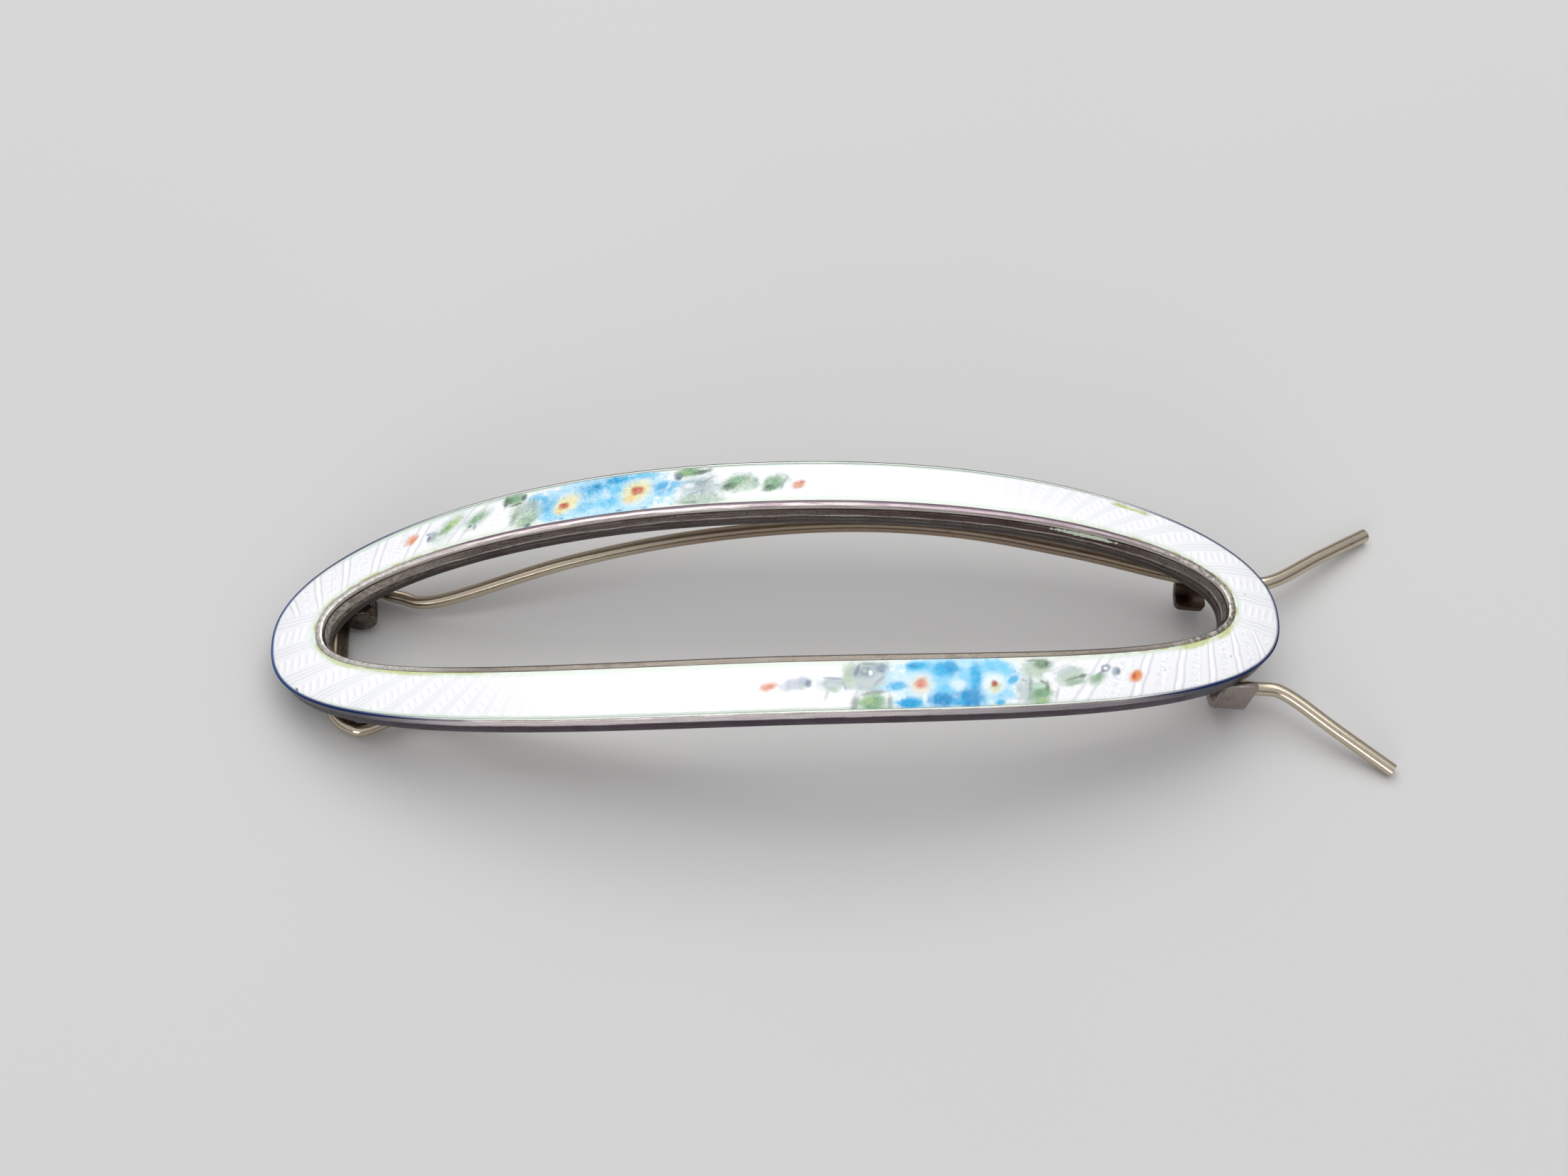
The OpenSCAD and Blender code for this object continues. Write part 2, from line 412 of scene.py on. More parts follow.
class Paintwork:
    """A material under construction: its tree, its surface shader and its points."""

    def __init__(self, name: str) -> None:
        """Makes the material with one Principled surface."""
        self.material = bpy.data.materials.new(name)
        self.material.use_nodes = True
        self.tree = Tree(self.material.node_tree)
        self.surface = next(n for n in self.material.node_tree.nodes
                            if n.type == "BSDF_PRINCIPLED")

    def set(self, **values: Feed) -> None:
        """Sets or links the surface's sockets, underscores standing for spaces."""
        for name, value in values.items():
            self.tree.feed(self.surface.inputs[name.replace("_", " ")], value)

    def level_point(self) -> Out:
        """The place on the slide in millimetres, from the floor under the ring's middle."""
        seat = self.tree.node("ShaderNodeTexCoord").outputs["Object"]
        placed = self.tree.node("ShaderNodeMapping")
        self.tree.feed(placed.inputs["Vector"], seat)
        placed.inputs["Scale"].default_value = (1 / MM, 1 / MM, 1 / MM)
        placed.inputs["Location"].default_value = (-SHIFT.x, 0.0, 0.0)
        return placed.outputs[0]

    def band_point(self, along: float, across: float) -> Out:
        """The place on the band in millimetres, from its own UV map."""
        chart = self.tree.node("ShaderNodeUVMap", uv_map="band").outputs[0]
        return self.tree.vector("MULTIPLY", chart, (along, across, 0.0))

    def bump(self, height: Feed, strength: float, distance: float) -> None:
        """Feeds a height, with 1 at distance millimetres, to the surface's normal."""
        made = self.tree.node("ShaderNodeBump")
        made.inputs["Strength"].default_value = strength
        made.inputs["Distance"].default_value = distance * MM
        self.tree.feed(made.inputs["Height"], height)
        self.set(Normal=made.outputs[0])


# The oval and its arch

@dataclass
class OvalArch:
    """The open oval of the ring: drawn flat, extruded row by row and bent over the arch."""

    length: float = 65.6
    width: float = 18.9
    rise: float = 5.8
    wall: float = 1.65
    crown: float = 0.5
    edge: float = 0.2
    face: float = 3.45
    fullness: float = 2.33
    steps: int = 640

    @property
    def radius(self) -> float:
        """Radius of the arch."""
        half = self.length / 2
        return (half * half + self.rise * self.rise) / (2 * self.rise)

    @property
    def flat_half(self) -> float:
        """Half the length of the oval before it is bent."""
        return self.radius * math.asin(self.length / 2 / self.radius)

    def height(self, x: float) -> float:
        """Height of the arch at a distance from the middle, zero at its top."""
        return math.sqrt(self.radius ** 2 - x * x) - self.radius

    def solder(self, x: float, sink: float) -> float:
        """Height to which a soldered part reaches at x, sunk a little into the ring's foot."""
        return self.height(x) - self.wall + sink

    def flat(self, turn: float, inset: float) -> tuple[float, float]:
        """Point of the flat oval at a turn round it and an inset from its edge."""
        c, s = math.cos(turn), math.sin(turn)
        scale = (abs(c) ** self.fullness + abs(s) ** self.fullness) ** (-1 / self.fullness)
        return (scale * (self.flat_half - inset) * c, scale * (self.width / 2 - inset) * s)

    def run_length(self, inset: float = 1.8) -> tuple[np.ndarray, np.ndarray]:
        """Measures the way round the bent oval.

        Args:
            inset: The inset of the line that is measured.

        Returns:
            Turns from minus pi to pi, and the length up to each.
        """
        turns = np.linspace(-math.pi, math.pi, 4 * self.steps + 1)
        points = []
        for turn in turns:
            u, v = self.flat(turn, inset)
            bend = u / self.radius
            points.append((self.radius * math.sin(bend), v, self.radius * math.cos(bend)))
        steps = np.linalg.norm(np.diff(np.array(points), axis=0), axis=1)
        return turns, np.concatenate([[0.0], np.cumsum(steps)])

    @property
    def way(self) -> float:
        """The whole way round the bent oval."""
        return float(self.run_length()[1][-1])

    def sweep(self, name: str, section: Section) -> Piece:
        """Sweeps a closed section round the oval.

        Args:
            name: The piece's name.
            section: Inset and height of each row, in order round the section.

        Returns:
            The bent piece, level, in millimetres, with its "band" UV map: the share of
            the way round from the left end by the front, and the row's share.
        """
        Bench.clear()
        bpy.ops.mesh.primitive_circle_add(vertices=self.steps, radius=1.0, fill_type="NOTHING")
        piece = Bench.named(name)
        inset, height = section[0]
        for vertex in piece.data.vertices:
            turn = math.atan2(vertex.co.y, vertex.co.x)
            vertex.co = (*self.flat(turn, inset), height)
        Bench.edit()
        bpy.ops.mesh.select_all(action="SELECT")
        for next_inset, next_height in section[1:]:
            bpy.ops.mesh.extrude_region()
            bpy.ops.transform.resize(value=(
                (self.flat_half - next_inset) / (self.flat_half - inset),
                (self.width / 2 - next_inset) / (self.width / 2 - inset), 1.0),
                center_override=(0.0, 0.0, 0.0))
            bpy.ops.transform.translate(value=(0.0, 0.0, next_height - height))
            inset, height = next_inset, next_height
        Bench.pick(piece, "EDGE", lambda edge: edge.is_boundary)
        bpy.ops.mesh.bridge_edge_loops()
        bpy.ops.mesh.select_all(action="SELECT")
        bpy.ops.mesh.normals_make_consistent(inside=False)
        bpy.ops.object.mode_set(mode="OBJECT")
        self._chart(piece, section)
        self._bend(piece)
        return piece

    def _bend(self, piece: Piece) -> None:
        """Bends a flat piece over the arch, its walls square to it."""
        piece.rotation_euler = (math.pi / 2, 0.0, 0.0)
        Bench.place(piece)
        reach = max(vertex.co.x for vertex in piece.data.vertices)
        Bench.apply(piece, "SIMPLE_DEFORM", deform_method="BEND", deform_axis="Z",
                    angle=2 * reach / self.radius)
        piece.rotation_euler = (-math.pi / 2, 0.0, 0.0)
        Bench.place(piece)

    def _chart(self, piece: Piece, section: Section) -> None:
        """Writes the band UV map of a flat piece.

        Args:
            piece: The flat piece, before it is bent.
            section: Its section's rows.
        """
        points = np.array([v.co for v in piece.data.vertices], float)
        misses = []
        for inset, height in section:
            reach = (np.abs(points[:, 0] / (self.flat_half - inset)) ** self.fullness
                     + np.abs(points[:, 1] / (self.width / 2 - inset)) ** self.fullness)
            misses.append(np.abs(reach ** (1 / self.fullness) - 1) * self.width / 2
                          + np.abs(points[:, 2] - height))
        row = np.argmin(np.array(misses), axis=0)
        across, around = row_places(section)
        insets = np.array(section)[row, 0]
        turn = np.arctan2(points[:, 1] / (self.width / 2 - insets),
                          points[:, 0] / (self.flat_half - insets))
        turns, run = self.run_length()
        u = np.interp(turn, turns, run / run[-1])
        chart = piece.data.uv_layers.new(name="band")
        for face in piece.data.polygons:
            spots = [piece.data.loops[i].vertex_index for i in face.loop_indices]
            wrap = max(u[spots]) - min(u[spots]) > 0.5
            over = {int(row[s]) for s in spots} == {0, len(section) - 1}
            for i, spot in zip(face.loop_indices, spots):
                su = u[spot] + (1.0 if wrap and u[spot] < 0.5 else 0.0)
                sv = around if over and row[spot] == 0 else across[row[spot]]
                chart.data[i].uv = (su, sv / around)


def row_places(rows: Section) -> tuple[list[float], float]:
    """Measures how far round a section each row lies.

    Args:
        rows: The section's rows.

    Returns:
        The way from the first row to each, and the whole way round, in mm.
    """
    steps = [math.dist(a, b) for a, b in zip(rows, rows[1:])]
    at = [sum(steps[:i]) for i in range(len(rows))]
    return at, at[-1] + math.dist(rows[0], rows[-1])


# Finishes

@dataclass(frozen=True)
class SilverFinish:
    """Old polished silver: cloudy brown tarnish patches, dark speckles and fine lines."""

    name: str
    bright: Colour
    brown: Colour
    dark: Colour
    amount: float
    speckle: float = 0.3
    roughness: float = 0.18

    def make(self, effects: SharedEffects) -> bpy.types.Material:
        """Builds the material for plain silver parts.

        Args:
            effects: The shared node groups.

        Returns:
            The material.
        """
        work = Paintwork(self.name)
        tree, point = work.tree, work.level_point()
        mask, speckle = tree.group(effects.tarnish, Point=point, Size=0.9, Amount=self.amount)
        lines = tree.group(effects.fine_lines, Point=point, Stretch=(1.0, 9.0, 9.0), Scale=1.4)[0]
        colour = tree.mix(mask, linear(*self.bright), linear(*self.brown))
        colour = tree.mix(tree.times(speckle, self.speckle), colour, linear(*self.dark))
        rough = tree.line(mask, 0.16, tree.line(lines, 0.16, self.roughness))
        work.set(Base_Color=colour, Roughness=rough, Metallic=1.0)
        work.bump(lines, 0.25, 0.02)
        return work.material


@dataclass
class Layers:
    """Tints laid one over another, each by the product of its masks."""

    tree: Tree
    colour: Feed

    def lay(self, rgb: Colour, *shares: Feed) -> None:
        """Lays one tint over the colour."""
        self.colour = self.tree.mix(self.tree.times(*shares), self.colour, linear(*rgb))


@dataclass(frozen=True)
class RingMasks:
    """Where a point lies on the ring, and the wear that is found there."""

    x: Feed
    straight: Feed
    wavy: Feed
    left: Feed
    right: Feed
    ends: Feed
    back: Feed
    front: Feed
    east: Feed
    streak: Feed
    pebble: Feed
    speckle: Feed


@dataclass(frozen=True)
class RingSilverFinish:
    """The ring's silver, zoned across its section: walls, rim, lip, step and underside. Its zone tints
    include painted reflection, painted light and painted shade.
    """

    zones: dict[str, tuple[float, float]]
    around: float
    way: float
    name: str = "ring_silver"

    def make(self, effects: SharedEffects) -> bpy.types.Material:
        """Builds the material.

        Args:
            effects: The shared node groups.

        Returns:
            The material.
        """
        work = Paintwork(self.name)
        tree, point = work.tree, work.level_point()
        chart = work.band_point(self.way, self.around)
        _, straight, _ = tree.split(chart)
        x, y, _ = tree.split(point)
        wavy = tree.plus(straight, tree.line(tree.noise(chart, 0.35, 3.0), 0.3, -0.15))
        left, right = tree.fall(x, -27.0, -18.0), tree.rise(x, 21.0, 28.0)
        back = tree.rise(y, -0.5, 0.5)
        mask, speckle = tree.group(effects.tarnish, Point=point, Size=0.7, Amount=0.42)
        streaks = tree.group(effects.fine_lines, Point=chart, Stretch=(0.16, 3.2, 1.0), Scale=2.2)
        lines = tree.group(effects.fine_lines, Point=chart, Stretch=(0.5, 8.0, 1.0), Scale=1.6)[0]
        on = RingMasks(x, straight, wavy, left, right, tree.plus(left, right), back,
                       tree.less(1.0, back), tree.rise(x, -2.0, 12.0),
                       tree.rise(streaks[0], 0.42, 0.6),
                       tree.rise(tree.noise(point, 3.2, 3.0, 0.6), 0.4, 0.6), speckle)

        layers = Layers(tree, tree.mix(on.streak, linear(210, 204, 198), linear(150, 138, 134)))
        layers.lay((122, 106, 98), mask, 0.4)
        wall, rim = self._outside(layers, on)
        lip = self._lip(layers, on)
        high = self._inside(layers, on)
        residue = self._residue(layers, chart)

        rough = tree.plus(tree.line(mask, 0.12, tree.line(lines, 0.22, 0.16)),
                          tree.times(rim, 0.1), tree.times(residue, 0.4), clamp=True)
        matt = tree.plus(tree.times(rim, 0.9), tree.times(lip, on.back, 0.45),
                         tree.times(lip, on.front, 0.15), tree.times(high, left, 0.5),
                         tree.times(wall, tree.less(1.0, on.ends, clamp=True), 0.55),
                         residue, clamp=True)
        work.set(Base_Color=layers.colour, Roughness=rough, Metallic=tree.less(1.0, matt))
        work.bump(tree.plus(lines, residue, tree.times(on.pebble, lip, on.ends, 0.6)), 0.35, 0.02)
        return work.material

    def _outside(self, layers: Layers, on: RingMasks) -> tuple[Out, Out]:
        """Tints the outer wall, its dark corner and shoulder, and the pale rim. The wall's pale upper
        part is a painted reflection, and its dark lower part and darker right side are painted shade.

        Args:
            layers: The tints.
            on: The ring's masks.

        Returns:
            The masks of the upper wall and of the rim.
        """
        tree = layers.tree
        wall = self._zone(tree, on.wavy, "outer_high", 0.1)
        low = self._zone(tree, on.wavy, "outer_low", 0.1)
        # Painted reflection: the wall's upper part is pale, and darker towards the right end as painted
        # shade.
        layers.lay((236, 226, 228), wall, 0.85)
        layers.lay((206, 190, 196), wall, on.streak, 0.6)
        layers.lay((112, 106, 114), wall, tree.rise(on.x, 4.0, 20.0), 0.8)
        # Painted shade: the wall's lower part is dark.
        layers.lay((62, 46, 62), low, 0.95)
        layers.lay((46, 48, 66), tree.plus(wall, low, clamp=True), on.ends, 0.85)
        corner = self._zone(tree, on.straight, "corner", 0.02)
        layers.lay((80, 66, 84), corner, on.back, 0.95)
        layers.lay((22, 46, 96), corner, on.ends, 0.95)
        rim = self._zone(tree, on.straight, "rim", 0.015)
        layers.lay((222, 232, 222), rim, 0.95)
        layers.lay((240, 243, 248), rim, on.ends, 0.9)
        shoulder = self._zone(tree, on.straight, "shoulder", 0.03)
        layers.lay((22, 46, 100), shoulder, on.ends, 0.95)
        layers.lay((46, 92, 158), shoulder, tree.fall(on.x, -33.5, -29.0), 0.95)
        return wall, rim

    def _lip(self, layers: Layers, on: RingMasks) -> Out:
        """Tints the bare inner lip, its edge and the groove under it. The lip and its edge carry painted
        light: pale at the back and the left end, dark at the front.

        Args:
            layers: The tints.
            on: The ring's masks.

        Returns:
            The mask of the lip.
        """
        tree = layers.tree
        lip = self._zone(tree, on.straight, "lip", 0.02)
        # Painted light: the lip and its edge are pale at the back and the left end, and dark at the
        # front.
        layers.lay((214, 207, 203), lip, on.back, 0.95)
        layers.lay((146, 124, 132), lip, on.back, on.streak, 0.8)
        layers.lay((150, 130, 138), lip, on.back, on.east, 0.65)
        layers.lay((104, 84, 98), self._zone(tree, on.straight, "seat", 0.05), on.back, 0.85)
        layers.lay((116, 108, 98), lip, on.front, 0.9)
        layers.lay((232, 229, 222), lip, on.left, 0.85)
        layers.lay((150, 138, 128), lip, on.left, on.pebble, 0.5)
        layers.lay((206, 200, 190), lip, on.right, 0.8)
        layers.lay((108, 98, 92), lip, on.right, on.pebble, 0.8)
        lip_edge = self._zone(tree, on.straight, "lip_edge", 0.03)
        layers.lay((222, 217, 206), lip_edge, on.back, 0.85)
        layers.lay((74, 54, 62), lip_edge, on.front, 0.85)
        layers.lay((52, 38, 40), self._zone(tree, on.straight, "groove", 0.03), 0.92)
        return lip

    def _inside(self, layers: Layers, on: RingMasks) -> Out:
        """Tints the inner wall with painted shade, browner and darker towards its foot, and with painted
        light on its ends.

        Args:
            layers: The tints.
            on: The ring's masks.

        Returns:
            The mask of the wall's upper part.
        """
        tree = layers.tree
        high = self._zone(tree, on.wavy, "inner_high", 0.06)
        mid = self._zone(tree, on.wavy, "inner_mid", 0.06)
        # Painted shade: the inner wall darkens towards its foot; its ends are lighter, the left end
        # pale, as painted light.
        layers.lay((92, 80, 74), high, 0.8)
        layers.lay((78, 52, 56), high, tree.less(on.east, on.right, clamp=True), 0.7)
        layers.lay((210, 203, 192), high, on.left, 0.8)
        layers.lay((112, 96, 88), high, on.left, on.pebble, 0.7)
        layers.lay((134, 128, 122), high, on.right, 0.7)
        layers.lay((66, 54, 50), mid, 0.9)
        layers.lay((170, 160, 142), mid, on.left, on.pebble, 0.5)
        layers.lay((58, 48, 44), self._zone(tree, on.wavy, "inner_low", 0.08), 0.92)
        layers.lay((48, 40, 38), on.speckle, tree.plus(high, mid, clamp=True), 0.4)
        layers.lay((58, 48, 46), on.speckle, 0.12)
        return high

    def _residue(self, layers: Layers, chart: Feed) -> Out:
        """Lays the pale residue and the dark seam that are seen on the back's inner wall.

        Args:
            layers: The tints.
            chart: The place on the band, in mm.

        Returns:
            The mask of the residue.
        """
        tree = layers.tree
        start, back_middle = self.zones["inner_high"][0], self.way * 0.75
        residue = tree.times(self._spot(tree, chart, (back_middle - 21.7, start + 0.08, 0.0),
                                        (2.6, 0.2, 1.0)), 0.85)
        layers.lay((230, 246, 224), residue)
        seam = self._spot(tree, chart, (back_middle - 23.4, start + 0.4, 0.0), (1.6, 0.06, 1.0))
        layers.lay((40, 30, 34), seam, 0.9)
        return residue

    def _zone(self, tree: Tree, place: Feed, name: str, soft: float) -> Out:
        """Marks one zone of the section, with soft borders."""
        low, high = self.zones[name]
        return tree.times(tree.rise(place, low - soft, low + soft),
                          tree.fall(place, high - soft, high + soft))

    @staticmethod
    def _spot(tree: Tree, point: Feed, middle: Place, size: Place) -> Out:
        """A ragged oval spot of 1 on 0, for residue and a seam."""
        off = tree.vector("DIVIDE", tree.vector("SUBTRACT", point, middle), size)
        ragged = tree.line(tree.noise(point, 4.0, 3.0), 1.6, -0.8)
        return tree.fall(tree.plus(tree.vector("LENGTH", off), ragged), 0.75, 1.1)


@dataclass(frozen=True)
class WireFinish:
    """Drawn nickel silver wire: warm, with tarnish patches, fine lines along it, and painted shade along
    its middle, where it runs under the ring.
    """

    name: str = "drawn_wire"
    body: Colour = (198, 186, 166)
    shade: Colour = (166, 150, 132)
    under_ring_shade_colour: Colour = (132, 112, 94)
    speck: Colour = (110, 92, 80)

    def make(self, effects: SharedEffects) -> bpy.types.Material:
        """Builds the material.

        Args:
            effects: The shared node groups.

        Returns:
            The material.
        """
        work = Paintwork(self.name)
        tree, point = work.tree, work.level_point()
        mask, speckle = tree.group(effects.tarnish, Point=point, Size=0.45, Amount=0.15)
        lines = tree.group(effects.fine_lines, Point=point, Stretch=(0.5, 3.0, 3.0), Scale=2.4)[0]
        x, _, _ = tree.split(point)
        # Painted shade: the wire is darker along its middle, where it runs under the ring.
        under_ring_shade = tree.times(tree.rise(x, -14.0, -2.0), tree.fall(x, 25.0, 30.0), 0.75)
        colour = tree.mix(mask, linear(*self.body), linear(*self.shade))
        colour = tree.mix(under_ring_shade, colour, linear(*self.under_ring_shade_colour))
        colour = tree.mix(tree.times(speckle, 0.05), colour, linear(*self.speck))
        work.set(Base_Color=colour, Roughness=tree.line(lines, 0.16, 0.12), Metallic=1.0)
        work.bump(lines, 0.2, 0.012)
        return work.material


class Tint(Enum):
    """The painter's colours, as they show on the fired enamel."""

    CORAL = (232, 160, 132)
    ORANGE = (230, 140, 76)
    RUST = (196, 98, 66)
    RED = (172, 60, 44)
    ROSE = (214, 134, 114)
    BUTTER = (240, 226, 150)
    GOLD = (232, 196, 104)
    CREAM = (234, 218, 190)
    LIME_CREAM = (212, 214, 164)
    LAVENDER = (184, 188, 204)
    SLATE = (120, 132, 150)
    INK = (62, 74, 84)
    GREY = (162, 176, 180)
    PALE_GREY = (188, 199, 198)
    SAGE = (178, 197, 176)
    MINT = (190, 212, 192)
    LEAF = (130, 170, 130)
    LEAF_GOLD = (178, 202, 138)
    LEAF_DARK = (100, 132, 100)
    OLIVE = (76, 96, 78)
    WASH = (182, 224, 242)
    SKY = (106, 200, 238)
    BLUE = (0, 170, 222)
    DEEP_BLUE = (0, 144, 204)
    DARK_BLUE = (0, 112, 158)
    WHITE = (242, 246, 252)
    STAIN = (196, 204, 124)
    DIRT = (120, 116, 118)


@dataclass(frozen=True)
class Dab:
    """One dab of the brush: its place along and across the band, half its size, and its turn.

    Places and sizes are in mm, and the turn in degrees. Along starts at the middle of the
    side, and across at the enamel's outer edge.
    """

    tint: Tint
    along: float
    across: float
    long: float
    wide: float
    turn: float = 0.0
    cover: float = 0.85
    soft: float = 0.5
